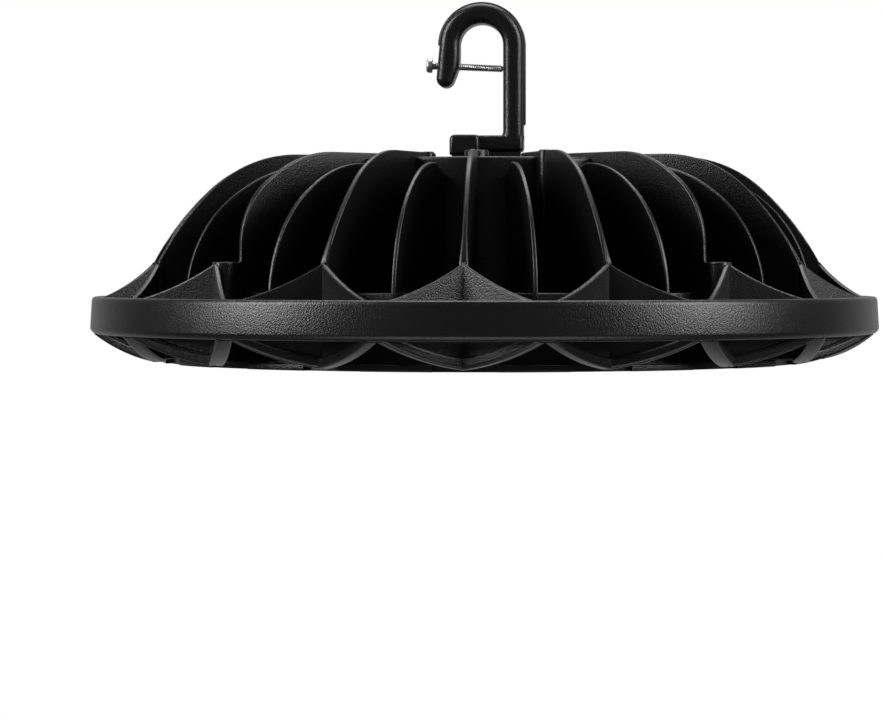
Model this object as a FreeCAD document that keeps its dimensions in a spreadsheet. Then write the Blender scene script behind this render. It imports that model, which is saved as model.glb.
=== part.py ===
"""High bay light: a finned die-cast lamp body hung from a hook with a keeper screw.

Frame: the origin is the centre of the flat underside, +Z points up along the lamp's axis, +X is
to the right and -Y is the front. Lengths are in millimetres and angles in degrees.
"""
import FreeCAD, Part
import math
import os
import Sketcher

# The driving sizes. Every other length in this file is worked out from these.
SIZES = {
    # Rim: the ring that ties the webs together.
    "rim_radius": 151.5,
    "rim_wall": 4.0,
    "rim_low": 11.2,
    "rim_high": 25.2,
    "rim_draft": 0.7,
    "rim_edge": 1.5,
    # Main fins, one for each pitch. The crown starts from the hub, and the tip is set in from
    # the rim, with the shoulder set in from the tip.
    "fin_count": 16,
    "fin_wall": 1.9,
    "fin_crest": 79.1,
    "fin_root_radius": 43.5,
    "fin_root_round": 1.2,
    "fin_crown_run": 15.5,
    "fin_crown_bend": 47.0,
    "fin_shoulder_inset": 21.0,
    "fin_shoulder_height": 65.7,
    "fin_flank_bend": 106.0,
    "fin_tip_inset": 22.5,
    "fin_tip_height": 38.2,
    "fin_tip_low": 1.9,
    "fin_foot": 0.6,
    # Short fins, halfway between the main ones. One is left out for the cable gland.
    "rib_wall": 1.6,
    "rib_start_height": 70.0,
    "rib_crest": 74.5,
    "rib_crest_run": 13.5,
    "rib_crown_bend": 52.0,
    "rib_shoulder_inset": 25.6,
    "rib_shoulder_height": 65.6,
    "rib_flank_bend": 48.0,
    "rib_tip_inset": 2.3,
    "rib_tip_height": 26.0,
    "rib_tip_low": 8.0,
    # Zigzag webs from the fin tips to the rim, with a thick band along their lower edge.
    "web_wall": 2.0,
    "web_top_bend": 100.0,
    "band_wall": 6.0,
    "band_height": 4.2,
    "band_low": 1.0,
    "band_rim_low": 10.8,
    "band_bend": 98.0,
    # Notches in four of the main fins, over a screw boss each.
    "notch_count": 4,
    "notch_inset": 10.6,
    "boss_radius": 4.6,
    "boss_inset": 4.0,
    "boss_low": 11.0,
    "boss_hole_radius": 2.1,
    "boss_hole_depth": 14.0,
    # Hub: the housing of the driver.
    "hub_radius": 60.5,
    "hub_top": 77.1,
    "hub_wall": 3.5,
    "hub_edge": 1.2,
    "hub_step": 1.5,
    "hub_step_height": 39.0,
    "core_radius": 19.0,
    "core_height": 5.5,
    # Drum: the shallow pan under the fins, which holds the light-emitting board and the lens.
    "plate_top": 26.0,
    "plate_wall": 4.5,
    "bead_width": 2.0,
    "bead_height": 1.4,
    "drum_inset": 33.5,
    "drum_foot_spread": 3.5,
    "drum_wall": 3.5,
    "flange_spread": 6.0,
    "flange_height": 2.5,
    "flange_gap_width": 21.5,
    "ledge_inset": 11.0,
    "ledge_height": 6.0,
    "ledge_wall": 4.5,
    # Ejector beads on two fins and the screw post on the front fin.
    "ejector_radius": 2.3,
    "ejector_circle": 67.0,
    "inner_ejector_circle": 48.6,
    "post_radius": 4.5,
    "post_circle": 52.5,
    "post_top": 79.6,
    # Pad on the hub and the foot of the hook on it.
    "foot_left": 12.8,
    "foot_split": 1.4,
    "foot_low": 79.6,
    "foot_step": 1.3,
    "foot_top": 87.2,
    "foot_depth": 28.0,
    "foot_round": 1.2,
    "pad_inset": 1.0,
    # Hook.
    "hook_depth": 15.0,
    "hook_axis": 1.0,
    "hook_height": 122.0,
    "hook_eye_radius": 8.4,
    "hook_bar": 7.8,
    "hook_round": 1.3,
    "hook_corner": 1.5,
    "limb_height": 114.0,
    "limb_tip_left": 15.0,
    "limb_tip_height": 109.2,
    "limb_tip_radius": 3.4,
    "limb_lean": 22.0,
    "limb_swell": 0.7,
    "spine_depth": 6.0,
    "spine_height": 0.75,
    "spine_end_height": 91.0,
    # Countersunk screws that hold the hook.
    "hook_screw_radius": 2.5,
    "hook_screw_head_radius": 4.6,
    "hook_screw_head": 2.4,
    "hook_screw_rim": 0.3,
    "hook_screw_sink": 0.5,
    "hook_screw_spacing": 17.0,
    "hook_screw_length": 16.0,
    "hook_screw_left": 7.1,
    # Keeper screw across the mouth of the hook.
    "keeper_radius": 1.45,
    "keeper_head_radius": 2.75,
    "keeper_head": 2.3,
    "keeper_height": 114.4,
    "keeper_tilt": 2.6,
    "keeper_stand_off": 2.3,
    "keeper_end_gap": 0.25,
    # Cable gland in the back of the hub. Its seats stand proud of the hub's two faces.
    "gland_height": 54.0,
    "gland_seat": 3.5,
    "gland_seat_radius": 11.5,
    "gland_inner_seat": 2.5,
    "gland_thread_radius": 8.0,
    "gland_ring_wall": 1.5,
    "gland_ring_radius": 10.6,
    "gland_flats": 19.0,
    "gland_hex": 5.0,
    "gland_neck_radius": 6.9,
    "gland_neck": 7.0,
    "gland_tail": 7.0,
    "gland_bore_radius": 5.2,
    "gland_cap_wall": 1.4,
    "gland_cap_length": 12.5,
    "gland_mouth_radius": 4.8,
    "gland_seal_bore": 3.6,
    "gland_seal_length": 11.0,
    "lock_nut_wall": 3.5,
    # Driver in the hub.
    "tray_radius": 46.0,
    "tray_wall": 1.8,
    "tray_low": 30.0,
    "tray_screw_left": 10.0,
    "tray_screw_spacing": 18.0,
    "driver_board_wall": 1.6,
    "driver_board_height": 33.0,
    "driver_post_radius": 3.0,
    "driver_post_circle": 38.0,
    "driver_post_count": 3,
    "transformer_length": 30.0,
    "transformer_width": 26.0,
    "transformer_height": 24.0,
    "transformer_x": 8.0,
    "transformer_y": -10.0,
    "choke_radius": 9.0,
    "choke_hole_radius": 4.0,
    "choke_height": 10.0,
    "choke_x": -22.0,
    "choke_y": -12.0,
    "capacitor_radius": 6.5,
    "capacitor_height": 25.0,
    "capacitor_x": -13.0,
    "capacitor_y": 14.0,
    "film_capacitor_length": 18.0,
    "film_capacitor_width": 8.0,
    "film_capacitor_height": 14.0,
    "film_capacitor_x": 19.5,
    "film_capacitor_y": 15.0,
    "terminal_length": 22.0,
    "terminal_width": 11.0,
    "terminal_height": 13.0,
    "terminal_x": 7.0,
    "terminal_y": 32.0,
    # Light-emitting board under the plate. Its screws stand out from the third ring of chips.
    "light_board_inset": 17.0,
    "light_board_wall": 1.6,
    "light_board_screw_run": 9.0,
    "light_board_screw_count": 6,
    "chip_side": 3.5,
    "chip_wall": 0.8,
    "chip_ring_radius": 24.0,
    "chip_margin": 5.0,
    "chip_ring_count": 8,
    "connector_side": 9.0,
    "connector_height": 5.0,
    "connector_x": 12.0,
    "lead_radius": 0.9,
    "lead_spacing": 4.0,
    # Lens and its gasket.
    "lens_inset": 0.5,
    "lens_wall": 3.0,
    "gasket_wall": 1.0,
    "lens_ring_inset": 13.0,
    "lens_ring_wall": 3.0,
    "lens_ring_height": 3.0,
    "lens_screw_inset": 6.0,
    "lens_screw_count": 8,
    "lens_sink": 1.0,
    # M3 screws, shared by the lens, the boards and the tray.
    "screw_radius": 1.5,
    "screw_head_radius": 2.8,
    "screw_head": 1.5,
    "screw_bite": 3.0,
    # Clearances.
    "slip_gap": 0.4,
    "screw_gap": 0.05,
    "rest_gap": 0.3,
}

# Rings of chips on the light-emitting board, counted outwards.
CHIP_RINGS = 5
# The cable gland sits between two main fins, this many pitches round from +X.
GLAND_PITCHES = 3.5
# Which way a bend in an outline turns as the outline is followed.
LEFT, RIGHT = 1, -1
# Length of the cutters that reach past whatever they cut.
CUTTER_REACH = 60.0

doc = FreeCAD.newDocument("high_bay_light")


class Length:
    """A number and the sheet expression that gives it, so that a sketch can be bound to it."""

    def __init__(self, value, text):
        self.value = value
        self.text = text

    def _with(self, other, sign, value):
        return Length(value, f"({self.text} {sign} {length(other).text})")

    def __add__(self, other):
        return self._with(other, "+", self.value + length(other).value)

    def __sub__(self, other):
        return self._with(other, "-", self.value - length(other).value)

    def __mul__(self, other):
        return self._with(other, "*", self.value * length(other).value)

    def __truediv__(self, other):
        return self._with(other, "/", self.value / length(other).value)

    def __neg__(self):
        return Length(-self.value, f"(0 - {self.text})")


def length(number):
    """A Length from a Length or from a plain number."""
    return number if isinstance(number, Length) else Length(float(number), repr(float(number)))


def sine(angle):
    return Length(math.sin(math.radians(angle.value)), f"sin({angle.text} * 1deg)")


def cosine(angle):
    return Length(math.cos(math.radians(angle.value)), f"cos({angle.text} * 1deg)")


def angle_of(rise, run):
    return Length(math.degrees(math.atan2(rise.value, run.value)), f"atan2({rise.text}; {run.text}) / 1deg")


def root_of_squares(first, second):
    return Length(math.hypot(first.value, second.value), f"sqrt({first.text}^2 + {second.text}^2)")


class Sheet:
    """The spreadsheet of driving sizes. Each size is read as an attribute, as a Length."""

    def __init__(self):
        cells = doc.addObject("Spreadsheet::Sheet", "dims")
        for row, (name, value) in enumerate(SIZES.items(), 1):
            cells.set(f"A{row}", name)
            cells.set(f"B{row}", str(value))
            cells.setAlias(f"B{row}", name)
            setattr(self, name, Length(float(value), f"dims.{name}"))
        doc.recompute()


d = Sheet()
fin_pitch = length(360) / d.fin_count


# ---------------------------------------------------------------- tools

def bind(thing, path, value):
    thing.setExpression(path, length(value).text)


def place(thing, x=0, y=0, z=0, turn=0, lean=0):
    """Put a thing at x, y, z, leaned about its own Y axis and then turned about Z."""
    at = f"create(<<vector>>; {length(x).text}; {length(y).text}; {length(z).text})"
    lean_by = f"create(<<rotation>>; create(<<vector>>; 0; 1; 0); {length(lean).text})"
    turn_by = f"create(<<rotation>>; create(<<vector>>; 0; 0; 1); {length(turn).text})"
    thing.setExpression("Placement", f"create(<<placement>>; {at}; {turn_by} * {lean_by})")
    return thing


def new_body(name):
    return doc.addObject("PartDesign::Body", name)


def origin_part(body, role):
    return next(item for item in body.Origin.OriginFeatures if item.Role == role)


def new_sketch(body, name, plane, height=0):
    """A sketch on one of the body's origin planes, raised along the plane's normal."""
    sketch = body.newObject("Sketcher::SketchObject", name)
    sketch.AttachmentSupport = [(origin_part(body, plane), "")]
    sketch.MapMode = "FlatFace"
    bind(sketch, "AttachmentOffset.Base.z", height)
    return sketch


def tie(sketch, first, path_value_pairs):
    """Bind constraints from number first on, in order, to their Lengths."""
    for step, value in enumerate(path_value_pairs):
        sketch.setExpression(f"Constraints[{first + step}]", length(value).text)


def arc_between(start, end, bend, side):
    """The arc from start to end that turns to one side, and which of its ends comes first."""
    chord = end - start
    half = chord.Length / 2
    rise = math.sqrt(max(bend * bend - half * half, 0.0))
    normal = FreeCAD.Vector(-chord.y, chord.x, 0).normalize() * side
    centre = (start + end) / 2 + normal * rise
    circle = Part.Circle(centre, FreeCAD.Vector(0, 0, 1), bend)
    ends = (start, end) if side == LEFT else (end, start)
    angles = [math.atan2(point.y - centre.y, point.x - centre.x) for point in ends]
    return Part.ArcOfCircle(circle, angles[0], angles[1])


def add_outline(sketch, corners, bends=None):
    """Close an outline of lines and arcs through the corners, each bound to its two Lengths.

    bends gives, for the corner that a round stretch starts from, its radius and side.
    """
    bends = bends or {}
    first = sketch.GeometryCount
    count = len(corners)
    points = [FreeCAD.Vector(length(x).value, length(y).value, 0) for x, y in corners]
    edges, starts, ends = [], [], []
    for index, point in enumerate(points):
        following = points[(index + 1) % count]
        if index in bends:
            bend, side = bends[index]
            edges.append(arc_between(point, following, length(bend).value, side))
            starts.append(1 if side == LEFT else 2)
        else:
            edges.append(Part.LineSegment(point, following))
            starts.append(1)
        ends.append(3 - starts[-1])
    sketch.addGeometry(edges, False)
    rules = [Sketcher.Constraint("Coincident", first + index, ends[index],
                                 first + (index + 1) % count, starts[(index + 1) % count])
             for index in range(count)]
    sizes = []
    base = sketch.ConstraintCount + count
    for index, point in enumerate(points):
        rules.append(Sketcher.Constraint("DistanceX", -1, 1, first + index, starts[index], point.x))
        rules.append(Sketcher.Constraint("DistanceY", -1, 1, first + index, starts[index], point.y))
        sizes += corners[index]
    for index, (bend, _) in bends.items():
        rules.append(Sketcher.Constraint("Radius", first + index, length(bend).value))
        sizes.append(bend)
    sketch.addConstraint(rules)
    tie(sketch, base, sizes)
    return sketch


def add_circle(sketch, x, y, radius):
    """A circle bound to its centre and radius."""
    number = sketch.GeometryCount
    base = sketch.ConstraintCount
    centre = FreeCAD.Vector(length(x).value, length(y).value, 0)
    sketch.addGeometry(Part.Circle(centre, FreeCAD.Vector(0, 0, 1), length(radius).value), False)
    sketch.addConstraint([
        Sketcher.Constraint("DistanceX", -1, 1, number, 3, centre.x),
        Sketcher.Constraint("DistanceY", -1, 1, number, 3, centre.y),
        Sketcher.Constraint("Radius", number, length(radius).value)])
    tie(sketch, base, (x, y, radius))
    return sketch


def add_axis(sketch, x):
    """An upright construction line at x, for a turned piece that stands off the lamp's axis."""
    number = sketch.GeometryCount
    base = sketch.ConstraintCount
    line = Part.LineSegment(FreeCAD.Vector(length(x).value, 0, 0), FreeCAD.Vector(length(x).value, 1, 0))
    sketch.addGeometry(line, True)
    sketch.addConstraint([
        Sketcher.Constraint("Vertical", number),
        Sketcher.Constraint("DistanceX", -1, 1, number, 1, length(x).value),
        Sketcher.Constraint("DistanceY", -1, 1, number, 1, 0),
        Sketcher.Constraint("Distance", number, 1)])
    tie(sketch, base + 1, (x,))
    return "Axis0"


def hexagon(flats):
    """The corners of a hexagon of the given width across its flats."""
    corner = flats / 2 / cosine(length(30))
    return [(corner * cosine(length(60 * side)), corner * sine(length(60 * side)))
            for side in range(6)]


def rectangle(x, y, width, depth):
    """The corners of a rectangle centred on x, y."""
    half_width, half_depth = length(width) / 2, length(depth) / 2
    x, y = length(x), length(y)
    return [(x - half_width, y - half_depth), (x + half_width, y - half_depth),
            (x + half_width, y + half_depth), (x - half_width, y + half_depth)]


def pad(body, sketch, height, both_ways=False):
    """Thicken a sketch along its normal, or equally to both sides."""
    feature = body.newObject("PartDesign::Pad", f"{sketch.Name}_pad")
    feature.Profile = sketch
    bind(feature, "Length", height)
    feature.Midplane = both_ways
    return feature


def pocket(body, sketch, depth, upwards=False):
    """Cut a sketch downwards, or upwards, to a depth."""
    feature = body.newObject("PartDesign::Pocket", f"{sketch.Name}_pocket")
    feature.Profile = sketch
    bind(feature, "Length", depth)
    feature.Reversed = upwards
    return feature


def revolve(body, sketch, axis="V_Axis"):
    """Turn a sketch a full circle about an upright line of its own."""
    feature = body.newObject("PartDesign::Revolution", f"{sketch.Name}_turn")
    feature.Profile = sketch
    feature.ReferenceAxis = (sketch, [axis])
    feature.Angle = 360
    return feature


def around(body, feature, count, angle=None):
    """Repeat a feature, or a list of them, about the lamp's axis, evenly or over an angle."""
    doc.recompute()
    features = feature if isinstance(feature, list) else [feature]
    pattern = body.newObject("PartDesign::PolarPattern", f"{features[0].Name}_ring")
    pattern.Originals = features
    pattern.Axis = (origin_part(body, "Z_Axis"), [""])
    pattern.Angle = 360
    bind(pattern, "Occurrences", count)
    if angle is not None:
        bind(pattern, "Angle", angle)
    body.Tip = pattern
    return pattern


def mirror_across(body, feature, plane):
    """Repeat a feature on the other side of one of the body's origin planes."""
    doc.recompute()
    copy = body.newObject("PartDesign::Mirrored", f"{feature.Name}_mirror")
    copy.Originals = [feature]
    copy.MirrorPlane = (origin_part(body, plane), [""])
    body.Tip = copy
    return copy


def boolean(kind, name, *parts):
    """A Part::MultiFuse or a Part::Cut of objects."""
    result = doc.addObject(f"Part::{kind}", name)
    if kind == "Cut":
        result.Base, result.Tool = parts
    else:
        result.Shapes = list(parts)
    return result


def turned(name, corners, bends=None):
    """A body turned about the lamp's axis from an outline of radius and height."""
    body = new_body(name)
    revolve(body, add_outline(new_sketch(body, f"{name}_outline", "XZ_Plane"), corners, bends))
    return body


def box(name, width, depth, height, x, y, z):
    """An upright block centred on x, y with its underside at z."""
    block = doc.addObject("Part::Box", name)
    bind(block, "Length", width)
    bind(block, "Width", depth)
    bind(block, "Height", height)
    return place(block, length(x) - length(width) / 2, length(y) - length(depth) / 2, z)


def cylinder(name, radius, height, x=0, y=0, z=0):
    """An upright cylinder with the centre of its underside at x, y, z."""
    rod = doc.addObject("Part::Cylinder", name)
    bind(rod, "Radius", radius)
    bind(rod, "Height", height)
    return place(rod, x, y, z)


# ---------------------------------------------------------------- heat sink casting

fin_tip_radius = d.rim_radius - d.fin_tip_inset
fin_crown_radius = d.hub_radius + d.fin_crown_run
fin_shoulder_radius = fin_tip_radius - d.fin_shoulder_inset
rib_crest_radius = d.hub_radius + d.rib_crest_run
rib_shoulder_radius = fin_tip_radius - d.rib_shoulder_inset
rib_tip_radius = fin_tip_radius - d.rib_tip_inset
notch_radius = fin_tip_radius - d.notch_inset
boss_circle = fin_tip_radius - d.boss_inset
drum_radius = d.rim_radius - d.drum_inset
drum_foot_radius = drum_radius + d.drum_foot_spread
flange_radius = drum_radius + d.flange_spread
ledge_radius = drum_radius - d.ledge_inset
lens_radius = drum_radius - d.lens_inset
lens_ring_radius = drum_radius - d.lens_ring_inset
lens_screw_circle = drum_radius - d.lens_screw_inset
light_board_radius = drum_radius - d.light_board_inset
chip_ring_step = (light_board_radius - d.chip_margin - d.chip_ring_radius) / (CHIP_RINGS - 1)
light_board_screw_circle = d.chip_ring_radius + chip_ring_step * 2 + d.light_board_screw_run
plate_low = d.plate_top - d.plate_wall
roof_low = d.hub_top - d.hub_wall
core_low = roof_low - d.core_height
chamber_radius = d.hub_radius - d.hub_wall
gland_outer = d.hub_radius + d.gland_seat
gland_inner = chamber_radius - d.gland_inner_seat
lens_seat_radius = lens_radius + d.slip_gap
ledge_top = d.ledge_height + d.ledge_wall
screw_hole = d.screw_radius + d.screw_gap
web_rim_radius = d.rim_radius - d.rim_wall / 2
half_pitch = fin_pitch / 2
web_run = web_rim_radius * cosine(half_pitch) - fin_tip_radius
web_rise = web_rim_radius * sine(half_pitch)
web_span = root_of_squares(web_run, web_rise)
web_angle = angle_of(web_rise, web_run)


def hub_and_drum():
    """The turned heart of the casting: driver housing, plate, drum, ledge and flange."""
    return turned("hub_and_drum", [
        (0, d.hub_top),
        (d.hub_radius - d.hub_edge, d.hub_top),
        (d.hub_radius, d.hub_top - d.hub_edge),
        (d.hub_radius, d.hub_step_height),
        (d.hub_radius + d.hub_step, d.hub_step_height),
        (d.hub_radius + d.hub_step, d.plate_top),
        (drum_radius - d.bead_width, d.plate_top),
        (drum_radius - d.bead_width, d.plate_top + d.bead_height),
        (drum_radius, d.plate_top + d.bead_height),
        (drum_foot_radius, d.flange_height),
        (flange_radius, d.flange_height),
        (flange_radius, 0),
        (lens_seat_radius, 0),
        (lens_seat_radius, d.ledge_height),
        (ledge_radius, d.ledge_height),
        (ledge_radius, ledge_top),
        (drum_radius - d.drum_wall, ledge_top + d.drum_wall),
        (drum_radius - d.drum_wall, plate_low),
        (chamber_radius, plate_low),
        (chamber_radius, roof_low),
        (d.core_radius, roof_low),
        (d.core_radius, core_low),
        (0, core_low),
    ])


def drum_skin():
    """Two points inside the drum's wall, where the fins take root in it."""
    low = (drum_foot_radius - d.drum_wall / 2, d.fin_foot)
    high = (drum_radius - d.drum_wall / 2, plate_low + d.plate_wall / 2)
    return low, high


def main_fins():
    """Tall fins, each from the hub's top over a round shoulder to the tip of a web."""
    body = new_body("main_fins")
    low, high = drum_skin()
    root_radius = d.hub_radius - d.hub_wall / 2
    root_height = d.hub_top - d.hub_wall / 2
    sketch = add_outline(new_sketch(body, "fin_outline", "XZ_Plane"), [
        (root_radius, high[1]),
        (root_radius, root_height),
        (d.fin_root_radius, root_height),
        (d.fin_root_radius, d.fin_crest - d.fin_root_round),
        (d.fin_root_radius + d.fin_root_round, d.fin_crest),
        (fin_crown_radius, d.fin_crest),
        (fin_shoulder_radius, d.fin_shoulder_height),
        (fin_tip_radius, d.fin_tip_height),
        (fin_tip_radius, d.fin_tip_low),
        low,
        high,
    ], {5: (d.fin_crown_bend, RIGHT), 6: (d.fin_flank_bend, RIGHT)})
    around(body, pad(body, sketch, d.fin_wall, both_ways=True), d.fin_count)
    return body


def short_fins():
    """Lower fins at the half pitches, all but the one in front of the cable gland."""
    body = new_body("short_fins")
    low, high = drum_skin()
    root_radius = d.hub_radius - d.hub_wall / 2
    sketch = add_outline(new_sketch(body, "rib_outline", "XZ_Plane"), [
        (root_radius, high[1]),
        (root_radius, d.rib_start_height),
        (rib_crest_radius, d.rib_crest),
        (rib_shoulder_radius, d.rib_shoulder_height),
        (rib_tip_radius, d.rib_tip_height),
        (rib_tip_radius, d.rib_tip_low),
        (low[0], d.rib_tip_low),
        high,
    ], {2: (d.rib_crown_bend, RIGHT), 3: (d.rib_flank_bend, RIGHT)})
    rib = pad(body, sketch, d.rib_wall, both_ways=True)
    around(body, rib, d.fin_count - 1, fin_pitch * (d.fin_count - 2))
    return place(body, turn=fin_pitch * (GLAND_PITCHES + 1))


def zigzag(name, wall, corners, bends):
    """Upright plates in a V from each fin tip out to the rim.

    The outline is drawn in a plate's own plane: x runs from the fin tip towards the rim.
    """
    body = new_body(name)
    plates = []
    for side, sign in (("right", length(1)), ("left", length(-1))):
        sketch = new_sketch(body, f"{name}_{side}_outline", "XZ_Plane")
        at = f"create(<<vector>>; {fin_tip_radius.text}; 0; 0)"
        up = "create(<<vector>>; 0; 1; 0)"
        turn = f"create(<<rotation>>; {up}; {(sign * web_angle).text})"
        sketch.setExpression("AttachmentOffset.Base.z", None)
        sketch.setExpression("AttachmentOffset", f"create(<<placement>>; {at}; {turn})")
        add_outline(sketch, corners, bends)
        plates.append(pad(body, sketch, wall, both_ways=True))
    around(body, plates, d.fin_count)
    return body


def webs():
    """The zigzag of thin webs under the short fins. Their lower edges are inside the band."""
    inside = d.band_height / 4
    return zigzag("webs", d.web_wall, [
        (0, d.band_low + inside),
        (web_span, d.band_rim_low + inside),
        (web_span, d.rim_high - d.rim_edge),
        (0, d.fin_tip_height),
    ], {2: (d.web_top_bend, RIGHT)})


def bands():
    """The thick band that runs along the lower edge of the webs."""
    end = web_span - d.band_wall / 3
    return zigzag("bands", d.band_wall, [
        (0, d.band_low),
        (end, d.band_rim_low),
        (end, d.band_rim_low + d.band_height),
        (0, d.band_low + d.band_height),
    ], {0: (d.band_bend, LEFT), 2: (d.band_bend, RIGHT)})


def rim():
    """The outer ring, a little narrower at its top, with its lower edge bevelled."""
    inner = d.rim_radius - d.rim_wall
    top_radius = d.rim_radius - d.rim_draft
    return turned("rim", [
        (inner, d.rim_low),
        (d.rim_radius - d.rim_edge, d.rim_low),
        (d.rim_radius, d.rim_low + d.rim_edge),
        (top_radius, d.rim_high - d.rim_edge),
        (top_radius - d.rim_edge, d.rim_high),
        (inner, d.rim_high),
    ])


def upright_rods(name, radius, circle, low, high, count, turn):
    """Rods that stand on a circle about the lamp's axis, the first of them turned from +X."""
    body = new_body(name)
    sketch = add_circle(new_sketch(body, f"{name}_plan", "XY_Plane", low), circle, 0, radius)
    rods = pad(body, sketch, high - low)
    if count is not None:
        around(body, rods, count)
    return place(body, turn=turn)


def hook_pad():
    """The two-level pad that the foot of the hook sits on."""
    low = roof_low + d.hub_wall / 2
    inner_depth = d.hook_depth - d.pad_inset * 2
    split = -d.foot_split
    right = d.hook_eye_radius + d.hook_bar - d.hook_axis - d.pad_inset
    left = -d.foot_left + d.pad_inset
    cross = box("pad_cross", split - d.pad_inset - left, d.foot_depth - d.pad_inset * 2,
                d.foot_low - low, (split - d.pad_inset + left) / 2, 0, low)
    bar = box("pad_bar", right - split, inner_depth, d.foot_low + d.foot_step - low,
              (right + split) / 2, 0, low)
    return [cross, bar]


def notch_cutters():
    """What is cut from four of the main fins, down to the level of their tips."""
    body = new_body("notch_cutters")
    reach = fin_tip_radius * 2 - notch_radius
    sketch = add_outline(new_sketch(body, "notch_outline", "XZ_Plane"), [
        (notch_radius, d.fin_tip_height),
        (reach, d.fin_tip_height),
        (reach, d.fin_crest),
        (notch_radius, d.fin_crest),
    ])
    around(body, pad(body, sketch, d.boss_radius * 2, both_ways=True), d.notch_count)
    return place(body, turn=length(180) / d.notch_count)


def flange_cutters():
    """The gaps in the bottom flange, one under each main fin."""
    body = new_body("flange_cutters")
    reach = flange_radius * 2 - drum_foot_radius
    sketch = add_outline(new_sketch(body, "flange_gap_plan", "XY_Plane"),
                         rectangle((reach + drum_foot_radius) / 2, 0,
                                   reach - drum_foot_radius, d.flange_gap_width))
    around(body, pad(body, sketch, d.flange_height), d.fin_count)
    return body


gland_turn = fin_pitch * GLAND_PITCHES


def along_gland(thing, distance):
    """Lay a thing's own Z axis along the gland, with its origin at a distance from the hub's."""
    x = cosine(gland_turn) * distance
    y = sine(gland_turn) * distance
    return place(thing, x, y, d.gland_height, turn=gland_turn, lean=90)


def gland_rod(name, radius, start, end):
    """A rod along the gland's axis from one distance to another."""
    rod = cylinder(name, radius, end - start)
    return along_gland(rod, start)


def casting():
    """The heat sink, cast in one piece: hub, drum, fins, webs, rim, bosses and their holes."""
    fin_root = drum_skin()[1]
    front = length(-90)
    pitches = {"ejector": front + fin_pitch, "inner_ejector": front - fin_pitch, "post": front}
    solids = [hub_and_drum(), main_fins(), short_fins(), webs(), bands(), rim(), *hook_pad()]
    solids += [
        upright_rods("ejector_bead", d.ejector_radius, d.ejector_circle,
                     fin_root[1], d.fin_crest, None, pitches["ejector"]),
        upright_rods("inner_ejector_bead", d.ejector_radius, d.inner_ejector_circle,
                     roof_low + d.hub_wall / 2, d.fin_crest, None, pitches["inner_ejector"]),
        upright_rods("front_post", d.post_radius, d.post_circle,
                     roof_low + d.hub_wall / 2, d.post_top, None, pitches["post"]),
        upright_rods("bracket_bosses", d.boss_radius, boss_circle,
                     d.boss_low, d.fin_tip_height, d.notch_count, length(180) / d.notch_count),
        gland_rod("gland_boss", d.gland_seat_radius, gland_inner, gland_outer),
    ]
    whole = boolean("MultiFuse", "raw_casting", *solids)
    boss_floor = d.fin_tip_height - d.boss_hole_depth
    holes = [
        notch_cutters(),
        flange_cutters(),
        upright_rods("bracket_holes", d.boss_hole_radius, boss_circle, boss_floor,
                     d.fin_tip_height + 1, d.notch_count, length(180) / d.notch_count),
        upright_rods("lens_screw_holes", screw_hole, lens_screw_circle, d.ledge_height - 1,
                     ledge_top + 1, d.lens_screw_count, half_pitch),
        upright_rods("light_board_holes", screw_hole, light_board_screw_circle, plate_low - 1,
                     plate_low + d.screw_bite + d.rest_gap, d.light_board_screw_count, half_pitch),
        gland_rod("gland_hole", d.gland_thread_radius + d.screw_gap, gland_inner - 1,
                  gland_outer + 1),
        *[cylinder(f"hook_screw_hole_{side}", d.hook_screw_radius + d.screw_gap,
                   CUTTER_REACH, -d.hook_screw_left, sign * d.hook_screw_spacing / 2,
                   d.foot_top - d.hook_screw_length - d.rest_gap)
          for side, sign in (("front", length(-1)), ("back", length(1)))],
        *[cylinder(f"tray_screw_hole_{side}", screw_hole, d.screw_bite + d.rest_gap + 1,
                   d.tray_screw_left, sign * d.tray_screw_spacing / 2, core_low - 1)
          for side, sign in (("front", length(-1)), ("back", length(1)))],
    ]
    cutter = boolean("MultiFuse", "casting_cutters", *holes)
    return boolean("Cut", "heat_sink", whole, cutter)


# ---------------------------------------------------------------- hook

hook_left = -d.hook_axis
hook_outer_radius = d.hook_eye_radius + d.hook_bar
post_left = d.hook_eye_radius - d.hook_axis
post_right = hook_outer_radius - d.hook_axis
bar_low = d.foot_low + d.foot_step
keeper_left = hook_left - hook_outer_radius - d.limb_swell - d.keeper_stand_off
keeper_length = (post_left - d.keeper_end_gap - keeper_left) / cosine(d.keeper_tilt)


def hook_outline(sketch):
    """The hook seen from the front: foot, post, round eye and the leaning limb with its tip."""
    top = d.hook_height
    return add_outline(sketch, [
        (-(d.foot_left + d.foot_split) / 2, bar_low),
        (post_right, bar_low),
        (post_right, top),
        (hook_left, top + hook_outer_radius),
        (hook_left - hook_outer_radius, top),
        (-d.limb_tip_left - d.limb_tip_radius, d.limb_tip_height),
        (-d.limb_tip_left + d.limb_tip_radius * cosine(d.limb_lean),
         d.limb_tip_height - d.limb_tip_radius * sine(d.limb_lean)),
        (hook_left - d.hook_eye_radius, d.limb_height),
        (hook_left - d.hook_eye_radius, top),
        (hook_left, top + d.hook_eye_radius),
        (post_left, top),
        (post_left, d.foot_top + d.hook_corner),
        (post_left - d.hook_corner, d.foot_top),
        (-(d.foot_left + d.foot_split) / 2, d.foot_top),
    ], {
        2: (hook_outer_radius, LEFT),
        3: (hook_outer_radius, LEFT),
        5: (d.limb_tip_radius, LEFT),
        8: (d.hook_eye_radius, RIGHT),
        9: (d.hook_eye_radius, RIGHT),
        11: (d.hook_corner, RIGHT),
    })


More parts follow.
